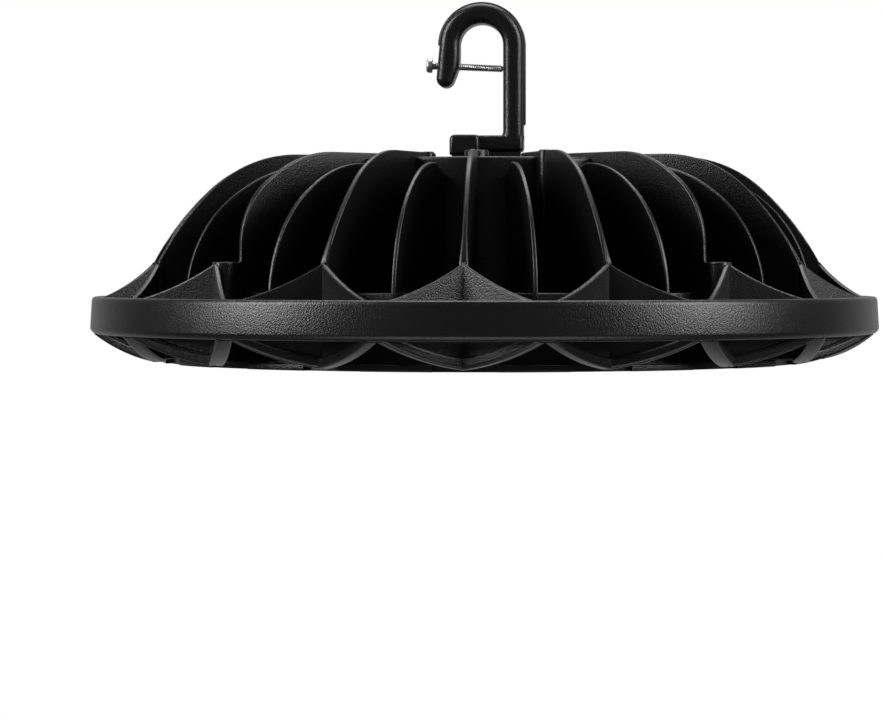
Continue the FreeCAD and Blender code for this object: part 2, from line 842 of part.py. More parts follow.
def spine_outline(sketch):
    """The low rib along the hook's outer side, from the limb over the eye and down the post."""
    outer = hook_outer_radius + d.spine_height
    inner = d.hook_eye_radius + d.hook_bar / 2
    top = d.hook_height
    return add_outline(sketch, [
        (hook_left + inner, d.spine_end_height),
        (post_right, d.spine_end_height),
        (post_right + d.spine_height, d.spine_end_height + d.spine_height),
        (hook_left + outer, top),
        (hook_left, top + outer),
        (hook_left - outer, top),
        (hook_left - inner, top),
        (hook_left, top + inner),
        (hook_left + inner, top),
    ], {3: (outer, LEFT), 4: (outer, LEFT), 6: (inner, RIGHT), 7: (inner, RIGHT)})


def hook_screw_sketch(body, name, gap):
    """Half the section of a countersunk hook screw, or of its hole where gap is not zero."""
    sketch = new_sketch(body, name, "XZ_Plane", d.hook_screw_spacing / 2)
    axis = -d.hook_screw_left
    head_top = d.foot_top - d.hook_screw_sink
    cone_low = head_top - d.hook_screw_head
    head_radius = d.hook_screw_head_radius + gap
    shank_radius = d.hook_screw_radius + gap
    tip = d.foot_top - d.hook_screw_length
    top = head_top + gap * CUTTER_REACH
    add_outline(sketch, [
        (axis, tip - gap * CUTTER_REACH), (axis + shank_radius, tip - gap * CUTTER_REACH),
        (axis + shank_radius, cone_low), (axis + head_radius, head_top),
        (axis + head_radius, top + d.hook_screw_rim), (axis, top + d.hook_screw_rim),
    ])
    return sketch, add_axis(sketch, axis)


def hook_screw_pair(name, gap):
    """Both hook screws, or the cutters for their holes."""
    body = new_body(name)
    sketch, axis = hook_screw_sketch(body, f"{name}_section", gap)
    mirror_across(body, revolve(body, sketch, axis), "XZ_Plane")
    return body


def keeper_rod(name, radius, start, end):
    """A rod along the keeper screw's axis, measured from under its head."""
    rod = cylinder(name, radius, end - start)
    reach_x = cosine(d.keeper_tilt) * start
    reach_z = sine(d.keeper_tilt) * start
    return place(rod, keeper_left + reach_x, 0, d.keeper_height - reach_z, lean=d.keeper_tilt + 90)


def softened(body, feature, size, names):
    """Chamfer the named edges or faces of a body's last feature."""
    cut = body.newObject("PartDesign::Chamfer", f"{feature.Name}_edges")
    cut.Base = (feature, names)
    bind(cut, "Size", size)
    body.Tip = cut
    return body


def faces_across(feature, axis):
    """The names of the flat faces which look along one axis."""
    doc.recompute()
    return [f"Face{number}" for number, face in enumerate(feature.Shape.Faces, 1)
            if abs(abs(face.normalAt(0, 0).dot(axis)) - 1) < 1e-6]


def hook():
    """The cast hook with its foot, drilled for its two screws and for the keeper screw."""
    bar = new_body("hook_bar")
    bent = pad(bar, hook_outline(new_sketch(bar, "hook_outline", "XZ_Plane")),
               d.hook_depth, both_ways=True)
    softened(bar, bent, d.hook_round, faces_across(bent, FreeCAD.Vector(0, 1, 0)))
    foot = new_body("hook_foot")
    plan = add_outline(new_sketch(foot, "foot_plan", "XY_Plane", d.foot_low),
                       rectangle(-(d.foot_left + d.foot_split) / 2, 0,
                                 d.foot_left - d.foot_split, d.foot_depth))
    block = pad(foot, plan, d.foot_top - d.foot_low)
    softened(foot, block, d.foot_round, faces_across(block, FreeCAD.Vector(0, 1, 0)))
    spine = new_body("hook_spine")
    pad(spine, spine_outline(new_sketch(spine, "spine_outline", "XZ_Plane")),
        d.spine_depth, both_ways=True)
    holes = boolean("MultiFuse", "hook_cutters",
                    hook_screw_pair("hook_screw_cutters", d.screw_gap),
                    keeper_rod("keeper_cutter", d.keeper_radius + d.screw_gap, length(0),
                               keeper_length / 2))
    return boolean("Cut", "hook", boolean("MultiFuse", "hook_casting", bar, foot, spine), holes)


def keeper_screw():
    """The pan-head screw that closes the mouth of the hook."""
    body = turned("keeper_screw", [
        (0, -d.keeper_head),
        (d.keeper_head_radius - d.keeper_head / 3, -d.keeper_head),
        (d.keeper_head_radius, -d.keeper_head * 2 / 3),
        (d.keeper_head_radius, 0),
        (d.keeper_radius, 0),
        (d.keeper_radius, keeper_length - d.keeper_radius / 2),
        (d.keeper_radius / 2, keeper_length),
        (0, keeper_length),
    ])
    return place(body, keeper_left, 0, d.keeper_height, lean=d.keeper_tilt + 90)


# ---------------------------------------------------------------- cable gland

gland_collar = gland_outer + d.gland_ring_wall
cap_start = d.gland_hex + d.slip_gap
cap_inner = cap_start + d.gland_cap_length - d.gland_cap_wall
cap_room_radius = d.gland_neck_radius + d.screw_gap
thread_room_radius = d.gland_thread_radius + d.screw_gap


def hex_ring(body, name, flats, hole_radius, low, high):
    """A hexagonal nut with a round hole, between two heights of the body's own axis."""
    sketch = add_outline(new_sketch(body, f"{name}_plan", "XY_Plane", low), hexagon(flats))
    return pad(body, add_circle(sketch, 0, 0, hole_radius), high - low)


def gland():
    """The cable gland's pieces, in the order in which they go on."""
    ring = turned("gland_ring", rectangle_ring(thread_room_radius, d.gland_ring_radius,
                                               0, d.gland_ring_wall))
    body = turned("gland_body", [
        (d.gland_bore_radius, -d.gland_ring_wall - gland_outer + gland_inner - d.gland_tail),
        (d.gland_thread_radius,
         -d.gland_ring_wall - gland_outer + gland_inner - d.gland_tail),
        (d.gland_thread_radius, d.gland_hex / 2),
        (d.gland_neck_radius, d.gland_hex / 2),
        (d.gland_neck_radius, d.gland_hex + d.gland_neck),
        (d.gland_bore_radius, d.gland_hex + d.gland_neck),
    ])
    doc.recompute()
    hex_ring(body, "gland_hex", d.gland_flats, d.gland_bore_radius, length(0), d.gland_hex)
    cap = new_body("gland_cap")
    cap_shoulder = cap_start + d.gland_cap_length * 0.6
    hex_ring(cap, "gland_cap_hex", d.gland_flats, cap_room_radius, cap_start, cap_shoulder)
    revolve(cap, add_outline(new_sketch(cap, "gland_dome_outline", "XZ_Plane"), [
        (cap_room_radius, cap_shoulder),
        (d.gland_flats / 2, cap_shoulder),
        (d.gland_flats / 2, cap_inner - d.gland_cap_wall),
        (d.gland_mouth_radius + d.gland_cap_wall, cap_inner + d.gland_cap_wall),
        (d.gland_mouth_radius, cap_inner + d.gland_cap_wall),
        (d.gland_mouth_radius, cap_inner),
        (cap_room_radius, cap_inner),
    ]))
    seal = turned("gland_seal", [
        (d.gland_seal_bore, cap_inner - d.gland_seal_length),
        (d.gland_bore_radius - d.screw_gap, cap_inner - d.gland_seal_length),
        (d.gland_bore_radius - d.screw_gap, d.gland_hex + d.gland_neck),
        (d.gland_neck_radius, d.gland_hex + d.gland_neck),
        (d.gland_neck_radius, cap_inner),
        (d.gland_seal_bore, cap_inner),
    ])
    nut = new_body("gland_lock_nut")
    hex_ring(nut, "lock_nut", d.gland_flats, thread_room_radius, length(0), d.lock_nut_wall)
    along_gland(ring, gland_outer)
    along_gland(nut, gland_inner - d.lock_nut_wall)
    return [ring, nut] + [along_gland(piece, gland_collar) for piece in (body, cap, seal)]


def rectangle_ring(inner, outer, low, high):
    """The section of a flat ring."""
    return [(inner, low), (outer, low), (outer, high), (inner, high)]


# ---------------------------------------------------------------- driver

tray_roof = core_low - d.tray_wall
driver_turn = length(30)
driver_board_top = d.driver_board_height + d.driver_board_wall


def screw_section(seat, grip, axis):
    """Half the section of a pan-head screw that points up, with its head under the seat."""
    tip = seat + grip + d.screw_bite
    return [
        (axis, seat - d.screw_head), (axis + d.screw_head_radius, seat - d.screw_head),
        (axis + d.screw_head_radius, seat), (axis + d.screw_radius, seat),
        (axis + d.screw_radius, tip), (axis, tip),
    ]


def screw_ring(name, circle, count, turn, seat, grip):
    """Pan-head screws on a circle, which point up and grip what lies over their seat."""
    body = new_body(name)
    sketch = add_outline(new_sketch(body, f"{name}_section", "XZ_Plane"),
                         screw_section(seat, grip, circle))
    around(body, revolve(body, sketch, add_axis(sketch, circle)), count)
    return place(body, turn=turn)


def tray_screws():
    """The two screws that hold the tray under the roof of the hub."""
    body = new_body("tray_screws")
    sketch = new_sketch(body, "tray_screw_section", "XZ_Plane", d.tray_screw_spacing / 2)
    add_outline(sketch, screw_section(tray_roof, d.tray_wall, d.tray_screw_left))
    turn = revolve(body, sketch, add_axis(sketch, d.tray_screw_left))
    mirror_across(body, turn, "XZ_Plane")
    return body


def driver_tray():
    """The moulded insulating cup that holds the driver, open downwards."""
    cup = turned("driver_cup", [
        (0, core_low),
        (d.tray_radius, core_low),
        (d.tray_radius, d.tray_low),
        (d.tray_radius - d.tray_wall, d.tray_low),
        (d.tray_radius - d.tray_wall, tray_roof),
        (0, tray_roof),
    ])
    posts = upright_rods("driver_posts", d.driver_post_radius, d.driver_post_circle,
                         driver_board_top, core_low - d.tray_wall / 2,
                         d.driver_post_count, driver_turn)
    pilots = upright_rods("driver_post_holes", screw_hole, d.driver_post_circle,
                          driver_board_top - 1, driver_board_top + d.screw_bite + d.rest_gap,
                          d.driver_post_count, driver_turn)
    passages = [cylinder(f"tray_hole_{side}", screw_hole, d.tray_wall + 2, d.tray_screw_left,
                         sign * d.tray_screw_spacing / 2, tray_roof - 1)
                for side, sign in (("front", length(-1)), ("back", length(1)))]
    solid = boolean("MultiFuse", "driver_tray_solid", cup, posts)
    holes = boolean("MultiFuse", "driver_tray_cutters", pilots, *passages)
    return boolean("Cut", "driver_tray", solid, holes)


def drilled_disc(name, radius, low, high, hole_circle, hole_count, turn):
    """A round board with a ring of screw holes."""
    body = new_body(name)
    sketch = add_circle(new_sketch(body, f"{name}_plan", "XY_Plane", low), 0, 0, radius)
    pad(body, sketch, high - low)
    hole = add_circle(new_sketch(body, f"{name}_hole", "XY_Plane", low), hole_circle, 0, screw_hole)
    around(body, pocket(body, hole, high - low, upwards=True), hole_count)
    return place(body, turn=turn)


def driver_parts():
    """What stands on the driver's board."""
    top = driver_board_top
    transformer = box("transformer", d.transformer_length, d.transformer_width,
                      d.transformer_height, d.transformer_x, d.transformer_y, top)
    choke = turned("choke", rectangle_ring(d.choke_hole_radius, d.choke_radius,
                                           top, top + d.choke_height))
    place(choke, d.choke_x, d.choke_y)
    capacitors = new_body("capacitors")
    plan = new_sketch(capacitors, "capacitor_plan", "XY_Plane", top)
    for step in range(2):
        add_circle(plan, d.capacitor_x + (d.capacitor_radius * 2 + 1) * step, d.capacitor_y,
                   d.capacitor_radius)
    pad(capacitors, plan, d.capacitor_height)
    film = box("film_capacitor", d.film_capacitor_length, d.film_capacitor_width,
               d.film_capacitor_height, d.film_capacitor_x, d.film_capacitor_y, top)
    block = box("terminal_block", d.terminal_length, d.terminal_width, d.terminal_height,
                d.terminal_x, d.terminal_y, top)
    return [transformer, choke, capacitors, film, block]


# ---------------------------------------------------------------- light-emitting board and lens

light_board_low = plate_low - d.light_board_wall
lens_top = d.ledge_height - d.gasket_wall
lens_low = lens_top - d.lens_wall


def light_chips():
    """The chips on the underside of the board, in rings of growing count."""
    body = new_body("light_chips")
    for ring in range(CHIP_RINGS):
        circle = d.chip_ring_radius + chip_ring_step * ring
        sketch = add_outline(new_sketch(body, f"chip_plan_{ring}", "XY_Plane",
                                        light_board_low - d.chip_wall),
                             rectangle(circle, 0, d.chip_side, d.chip_side))
        around(body, pad(body, sketch, d.chip_wall), d.chip_ring_count * (ring + 1))
    return body


def light_leads():
    """The two short leads from the driver's board down to the connector."""
    body = new_body("light_leads")
    connector_top = plate_low + d.connector_height
    plan = new_sketch(body, "lead_plan", "XY_Plane", connector_top)
    for sign in (-1, 1):
        add_circle(plan, d.connector_x, d.lead_spacing * sign / 2, d.lead_radius)
    pad(body, plan, d.driver_board_height - connector_top)
    return body


def lens_plate():
    """The clear cover plate, with a ring that centres it in the ledge and its screw holes."""
    plate = turned("lens_disc", [
        (0, lens_low),
        (lens_radius, lens_low),
        (lens_radius, lens_top),
        (lens_ring_radius, lens_top),
        (lens_ring_radius, lens_top + d.lens_ring_height),
        (lens_ring_radius - d.lens_ring_wall, lens_top + d.lens_ring_height),
        (lens_ring_radius - d.lens_ring_wall, lens_top),
        (0, lens_top),
    ])
    holes = upright_rods("lens_holes", screw_hole, lens_screw_circle, lens_low, lens_top + 1,
                         d.lens_screw_count, half_pitch)
    sinks = upright_rods("lens_sinks", d.screw_head_radius + d.slip_gap, lens_screw_circle,
                         lens_low - 1, lens_low + d.lens_sink, d.lens_screw_count, half_pitch)
    cutter = boolean("MultiFuse", "lens_cutters", holes, sinks)
    return boolean("Cut", "lens_plate", plate, cutter)


def lens_gasket():
    """The flat silicone ring between the lens and the ledge."""
    ring = turned("gasket_ring", rectangle_ring(ledge_radius + d.slip_gap,
                                                lens_radius - d.slip_gap,
                                                lens_top, d.ledge_height))
    holes = upright_rods("gasket_holes", screw_hole, lens_screw_circle, lens_top - 1,
                         d.ledge_height + 1, d.lens_screw_count, half_pitch)
    return boolean("Cut", "lens_gasket", ring, holes)


# ---------------------------------------------------------------- assembly and export

def build():
    """Every sub-part of the lamp, in the order of its assembly."""
    lens_seat = lens_low + d.lens_sink
    return [
        casting(),
        hook(),
        hook_screw_pair("hook_screws", length(0)),
        keeper_screw(),
        *gland(),
        driver_tray(),
        tray_screws(),
        drilled_disc("driver_board", d.tray_radius - d.tray_wall - d.slip_gap,
                     d.driver_board_height, driver_board_top, d.driver_post_circle,
                     d.driver_post_count, driver_turn),
        *driver_parts(),
        screw_ring("driver_screws", d.driver_post_circle, d.driver_post_count, driver_turn,
                   d.driver_board_height, d.driver_board_wall),
        drilled_disc("light_board", light_board_radius, light_board_low, plate_low,
                     light_board_screw_circle, d.light_board_screw_count, half_pitch),
        light_chips(),
        screw_ring("light_board_screws", light_board_screw_circle, d.light_board_screw_count,
                   half_pitch, light_board_low, d.light_board_wall),
        box("light_connector", d.connector_side, d.connector_side, d.connector_height,
            d.connector_x, 0, plate_low),
        light_leads(),
        lens_gasket(),
        lens_plate(),
        screw_ring("lens_screws", lens_screw_circle, d.lens_screw_count, half_pitch,
                   lens_seat, d.ledge_height - lens_seat),
    ]


def check(parts):
    """Stop if any object failed, or if a sub-part is not a whole and valid solid."""
    doc.recompute()
    for item in doc.Objects:
        if "Invalid" in item.State or "Error" in item.State:
            raise RuntimeError(f"{item.Name}: {item.State} {item.getStatusString()}")
    for part in parts:
        if part.Shape.isNull() or not part.Shape.isValid() or not part.Shape.Solids:
            raise RuntimeError(f"{part.Name} is not a valid solid")


def export(parts):
    os.makedirs("parts", exist_ok=True)
    for part in parts:
        part.Label = part.Name
        part.Shape.exportStep(f"parts/{part.Label}.step")
        print(f"{part.Label}: {len(part.Shape.Solids)} solids, {part.Shape.Volume:.1f} mm3")


sub_parts = build()
check(sub_parts)
export(sub_parts)
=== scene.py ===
"""High bay light, dressed in its finishes for a studio picture.

Frame: metres, origin at the centre of the flat underside, +Z up the lamp's axis, -Y to the
front. Sizes in the classes are millimetres. Every surface is worked out with numpy, as a
profile carried along a path or as a function of two parameters on a grid.
"""
import logging
import math
from dataclasses import dataclass
from enum import Enum

import bpy
import numpy as np
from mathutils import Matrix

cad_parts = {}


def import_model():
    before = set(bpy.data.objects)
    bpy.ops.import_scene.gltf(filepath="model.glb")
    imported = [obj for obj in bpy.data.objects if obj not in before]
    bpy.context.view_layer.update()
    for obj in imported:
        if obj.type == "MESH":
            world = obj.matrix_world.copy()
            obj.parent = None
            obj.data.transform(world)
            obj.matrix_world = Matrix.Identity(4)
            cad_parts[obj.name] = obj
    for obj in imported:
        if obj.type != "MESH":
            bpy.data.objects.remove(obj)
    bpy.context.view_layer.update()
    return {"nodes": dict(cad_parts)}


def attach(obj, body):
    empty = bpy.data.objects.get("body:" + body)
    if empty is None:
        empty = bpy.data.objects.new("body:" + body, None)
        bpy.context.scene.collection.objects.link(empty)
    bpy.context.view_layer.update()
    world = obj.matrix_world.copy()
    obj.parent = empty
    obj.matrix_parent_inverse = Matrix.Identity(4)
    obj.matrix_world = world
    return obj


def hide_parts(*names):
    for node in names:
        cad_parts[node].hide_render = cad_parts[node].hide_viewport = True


LOG = logging.getLogger("high_bay_light")
MM = 0.001
# The mix node's sockets for colours, which share their names with those for numbers.
MIX_FACTOR, MIX_A, MIX_B, MIX_RESULT = 0, 6, 7, 2


class Bend(Enum):
    """Which way an outline turns along an arc, as it is followed."""

    LEFT = 1
    RIGHT = -1


class Body(Enum):
    """The rigid bodies that pieces ride on."""

    LAMP = "lamp"
    KEEPER = "keeper"


class Shading(Enum):
    """How a piece's faces meet: rounded all over, or with creases at its corners."""

    SMOOTH = 180.0
    CREASED = 32.0


# ------------------------------------------------------------------ shapes

@dataclass
class Shape:
    """A closed surface: vertices in millimetres and the faces over them.

    Args:
        points: N x 3 array of vertices.
        faces: vertex numbers of each face.
    """

    points: np.ndarray
    faces: list

    def turned(self, degrees: float) -> "Shape":
        """Turn the shape about the lamp's axis.

        Args:
            degrees: angle, anticlockwise from above.

        Returns:
            The turned copy.
        """
        angle = math.radians(degrees)
        c, s = math.cos(angle), math.sin(angle)
        matrix = np.array([[c, s, 0.0], [-s, c, 0.0], [0.0, 0.0, 1.0]])
        return Shape(self.points @ matrix, self.faces)

    def moved(self, x: float, y: float, z: float) -> "Shape":
        """A copy shifted by x, y and z."""
        return Shape(self.points + np.array([x, y, z]), self.faces)

    def upright(self) -> "Shape":
        """A copy stood up, with its drawing plane across the lamp: x stays and y becomes z."""
        return self.stood((0, 0, 0), (1, 0, 0), (0, 0, 1))

    def stood(self, at: tuple, across: tuple, up: tuple) -> "Shape":
        """Stand the shape on new axes: x' along across, y' along up, z' along their cross product.

        Args:
            at: the new origin.
            across: unit direction of the shape's first axis.
            up: unit direction of its second axis.

        Returns:
            The shape on its new axes.
        """
        first, second = np.array(across, float), np.array(up, float)
        basis = np.array([first, second, np.cross(first, second)])
        return Shape(self.points @ basis + np.array(at, float), self.faces)


def together(shapes: list) -> Shape:
    """Put several shapes in one.

    Args:
        shapes: the shapes.

    Returns:
        One shape whose faces keep their own vertices.
    """
    starts = np.cumsum([0] + [len(shape.points) for shape in shapes[:-1]])
    faces = [[number + start for number in face]
             for start, shape in zip(starts.tolist(), shapes) for face in shape.faces]
    return Shape(np.vstack([shape.points for shape in shapes]), faces)


def ring_of(shape: Shape, turns: list) -> Shape:
    """Repeat a shape about the lamp's axis, once for each angle in degrees."""
    return together([shape.turned(turn) for turn in turns])


def arc(start: tuple, end: tuple, radius: float, bend: Bend, steps: int) -> np.ndarray:
    """Points along an arc between two points.

    The centre lies on the chord's mid-line, sqrt(radius^2 - half chord^2) to the bend's side, and
    the angle runs evenly from the start to the end.

    Args:
        start: first point, included.
        end: last point, left out.
        radius: the arc's radius.
        bend: which way it turns.
        steps: how many points.

    Returns:
        A steps x 2 array.
    """
    a, b = np.array(start, float), np.array(end, float)
    chord = b - a
    half = np.hypot(*chord) / 2
    side = np.array([-chord[1], chord[0]]) / (2 * half) * bend.value
    centre = (a + b) / 2 + side * math.sqrt(max(radius**2 - half**2, 0.0))
    first = math.atan2(*(a - centre)[::-1])
    sweep = 2 * math.asin(min(half / radius, 1.0)) * bend.value
    angles = first + sweep * np.arange(steps) / steps
    return centre + radius * np.column_stack([np.cos(angles), np.sin(angles)])


def outline(corners: list, bends: dict | None = None, rounds: dict | None = None,
            steps: int = 12) -> np.ndarray:
    """A closed outline of straight runs and arcs, with some of its corners rounded.

    A rounded corner runs from one tangent point to the other as a quadratic curve, whose middle
    weight is the corner itself.

    Args:
        corners: the corners, anticlockwise.
        bends: run number to (radius, Bend) for the runs that are arcs.
        rounds: corner number to the distance over which it is rounded.
        steps: points along each arc; a rounded corner takes four.

    Returns:
        An N x 2 array of points.
    """
    bends, rounds = bends or {}, rounds or {}
    runs = []
    for number, start in enumerate(corners):
        end = corners[(number + 1) % len(corners)]
        if number in bends:
            runs.append(arc(start, end, *bends[number], steps))
        else:
            runs.append(np.array([start], float))
    points = []
    t = np.linspace(0, 1, 5)[:, None]
    for number, run in enumerate(runs):
        if number in rounds:
            corner = run[0]
            before = runs[number - 1][-1] - corner
            after = (run[1] if len(run) > 1 else runs[(number + 1) % len(runs)][0]) - corner
            size = rounds[number]
            a = corner + before / np.hypot(*before) * min(size, np.hypot(*before) * 0.48)
            b = corner + after / np.hypot(*after) * min(size, np.hypot(*after) * 0.48)
            points.append((1 - t) ** 2 * a + 2 * t * (1 - t) * corner + t**2 * b)
            points.append(run[1:])
        else:
            points.append(run)
    return np.vstack(points)


def inset(points: np.ndarray, distance: float) -> np.ndarray:
    """Move a closed outline inwards.

    Each corner moves along the bisector of its two runs, by distance / cos(half their turn).

    Args:
        points: the outline, anticlockwise.
        distance: how far each run moves.

    Returns:
        The smaller outline, with as many points.
    """
    along = np.roll(points, -1, 0) - points
    along /= np.maximum(np.hypot(along[:, 0], along[:, 1]), 1e-9)[:, None]
    inward = np.column_stack([-along[:, 1], along[:, 0]])
    bisector = inward + np.roll(inward, 1, 0)
    bisector /= np.maximum((bisector**2).sum(1) / 2, 0.35)[:, None]
    return points + bisector * distance


def plate(points: np.ndarray, wall: float, edge: float, steps: int = 3) -> Shape:
    """A flat plate with round edges: a quarter-round profile carried along the outline.

    The ring at angle a of the quarter round is inset by edge * (1 - sin a) and lies
    edge * (1 - cos a) below the plate's face. A flat strip inside each face keeps it flat.

    Args:
        points: the closed outline, anticlockwise.
        wall: thickness, centred on the outline's plane.
        edge: radius of the round edges.
        steps: strips in each quarter round.

    Returns:
        The closed plate.
    """
    angle = np.linspace(0, math.pi / 2, steps + 1)
    insets = edge * (1 - np.sin(angle))
    heights = wall / 2 - edge * (1 - np.cos(angle))
    strip = edge + min(edge * 0.3, 0.3)
    insets = np.concatenate([[strip], insets, insets[::-1], [strip]])
    heights = np.concatenate([[wall / 2], heights, -heights[::-1], [-wall / 2]])
    rings = [np.column_stack([inset(points, by), np.full(len(points), height)])
             for by, height in zip(insets, heights)]
    count = len(points)
    grid = np.arange(count * len(rings)).reshape(len(rings), count)
    ahead = np.roll(grid, -1, 1)
    sides = np.stack([grid[:-1], grid[1:], ahead[1:], ahead[:-1]], -1).reshape(-1, 4)
    faces = sides.tolist() + [grid[0].tolist(), grid[-1, ::-1].tolist()]
    return Shape(np.vstack(rings), faces)


def lathe(profile: np.ndarray, segments: int = 128) -> Shape:
    """A closed ring turned about the z axis from a closed profile of radius and height.

    Args:
        profile: N x 2 outline, anticlockwise with the radius to the right.
        segments: steps round the axis.

    Returns:
        The ring. Points on the axis become poles.
    """
    turn = np.arange(segments) * 2 * math.pi / segments
    radius, height = profile[:, 0], profile[:, 1]
    points = np.stack([np.outer(radius, np.cos(turn)), np.outer(radius, np.sin(turn)),
                       np.repeat(height[:, None], segments, 1)], -1)
    grid = np.arange(points.shape[0] * segments).reshape(points.shape[0], segments)
    on_axis = radius < 1e-9
    grid[on_axis] = grid[on_axis][:, :1]
    below, right = np.roll(grid, -1, 0), np.roll(grid, -1, 1)
    quads = np.stack([grid, right, np.roll(below, -1, 1), below], -1).reshape(-1, 4)
    faces = [list(dict.fromkeys(quad)) for quad in quads.tolist()]
    return Shape(points.reshape(-1, 3), [face for face in faces if len(face) > 2])


def sector(profile: np.ndarray, start: float, end: float, segments: int = 12) -> Shape:
    """A closed profile of radius and height, swept through part of a turn and capped.

    Args:
        profile: N x 2 outline, anticlockwise with the radius to the right.
        start: first angle, in degrees.
        end: last angle.
        segments: steps between them.

    Returns:
        The closed piece of ring.
    """
    turn = np.radians(np.linspace(start, end, segments + 1))
    points = np.stack([np.outer(np.cos(turn), profile[:, 0]), np.outer(np.sin(turn), profile[:, 0]),
                       np.repeat(profile[None, :, 1], segments + 1, 0)], -1)
    grid = np.arange(points.shape[0] * points.shape[1]).reshape(points.shape[:2])
    ahead = np.roll(grid, -1, 1)
    sides = np.stack([grid[:-1], grid[1:], ahead[1:], ahead[:-1]], -1).reshape(-1, 4)
    faces = sides.tolist() + [grid[0].tolist(), grid[-1, ::-1].tolist()]
    return Shape(points.reshape(-1, 3), faces)


# ------------------------------------------------------------------ finishes

def linear(hex_colour: str) -> tuple:
    """Turn an sRGB hex colour into linear RGBA.

    Each channel is divided by 12.92 below 0.04045, and otherwise ((c + 0.055) / 1.055) ^ 2.4.

    Args:
        hex_colour: such as "#101112".

    Returns:
        Linear red, green, blue and alpha.
    """
    channels = [int(hex_colour[i:i + 2], 16) / 255 for i in (1, 3, 5)]
    return tuple(c / 12.92 if c <= 0.04045 else ((c + 0.055) / 1.055) ** 2.4
                 for c in channels) + (1.0,)


def add_node(tree: bpy.types.NodeTree, kind: str, settings: dict | None = None,
             inputs: dict | None = None) -> bpy.types.Node:
    """Add a node with its settings and its inputs.

    Args:
        tree: the material's node tree.
        kind: the node's type name.
        settings: attribute names and values.
        inputs: socket names or numbers, and for each a constant or the output to link.

    Returns:
        The node.
    """
    node = tree.nodes.new(kind)
    for name, value in (settings or {}).items():
        setattr(node, name, value)
    for name, value in (inputs or {}).items():
        if isinstance(value, bpy.types.NodeSocket):
            tree.links.new(value, node.inputs[name])
        else:
            node.inputs[name].default_value = value
    return node


@dataclass(frozen=True)
class Finish:
    """A grained or moulded finish: a base colour, its sheen and the relief of its surface.

    Args:
        name: what the finish is called.
        colour: sRGB hex of the body of the colour.
        tone: sRGB hex that the colour drifts towards over tone_mm.
        roughness: the smoothest roughness.
        spread: how much rougher its roughest patches are.
        metallic: 1 for bare metal.
        grain_mm: distance between two grains of the relief.
        relief_mm: height of the relief.
        tone_mm: size of the patches of tone.
        ior: index of refraction of a finish that isn't metal.
        glow: light of its own, for the studio's paper only.
    """

    name: str
    colour: str
    tone: str
    roughness: float
    spread: float = 0.08
    metallic: float = 0.0
    grain_mm: float = 0.5
    relief_mm: float = 0.02
    tone_mm: float = 18.0
    ior: float = 1.5
    glow: float = 0.0

    def shader_inputs(self) -> dict:
        """The surface shader's constants, apart from colour and roughness.

        Returns:
            Socket names and values; a metal keeps the default index of refraction.
        """
        inputs = {"Metallic": self.metallic}
        if self.metallic < 0.5:
            inputs["IOR"] = self.ior
        if self.glow:
            inputs["Emission Color"] = (1.0, 1.0, 1.0, 1.0)
            inputs["Emission Strength"] = self.glow
        return inputs

    def material(self) -> bpy.types.Material:
        """Build the material once and hand out the same one after that.

        Returns:
            The material, whose patterns are in millimetres of the piece's own coordinates.
        """
        made = bpy.data.materials.get(self.name)
        if made is not None:
            return made
        made = bpy.data.materials.new(self.name)
        made.use_nodes = True
        tree = made.node_tree
        tree.nodes.clear()
        place = add_node(tree, "ShaderNodeTexCoord").outputs["Object"]
        tone = add_node(tree, "ShaderNodeTexNoise", inputs={
            "Vector": place, "Scale": 1 / (self.tone_mm * MM), "Detail": 3.0})
        mixed = add_node(tree, "ShaderNodeMix", {"data_type": "RGBA"}, {
            MIX_FACTOR: tone.outputs["Fac"], MIX_A: linear(self.colour),
            MIX_B: linear(self.tone)})
        relief = self.relief(tree, place)
        rough = add_node(tree, "ShaderNodeMapRange", inputs={
            "Value": relief, "To Min": self.roughness, "To Max": self.roughness + self.spread})
        bump = add_node(tree, "ShaderNodeBump", inputs={
            "Strength": 1.0, "Distance": self.relief_mm * MM, "Height": relief})
        shader = add_node(tree, "ShaderNodeBsdfPrincipled", inputs={
            "Base Color": mixed.outputs[MIX_RESULT], "Roughness": rough.outputs["Result"],
            "Normal": bump.outputs["Normal"], **self.shader_inputs()})
        add_node(tree, "ShaderNodeOutputMaterial", inputs={"Surface": shader.outputs["BSDF"]})
        return made

    def relief(self, tree: bpy.types.NodeTree, place: bpy.types.NodeSocket) -> bpy.types.NodeSocket:
        """The height of the surface: fine grains of two sizes.

        Args:
            tree: the material's node tree.
            place: coordinates of the piece.

        Returns:
            The socket of the height, between 0 and 1.
        """
        fine = add_node(tree, "ShaderNodeTexNoise", inputs={
            "Vector": place, "Scale": 1 / (self.grain_mm * MM), "Detail": 2.0, "Roughness": 0.6})
        return fine.outputs["Fac"]


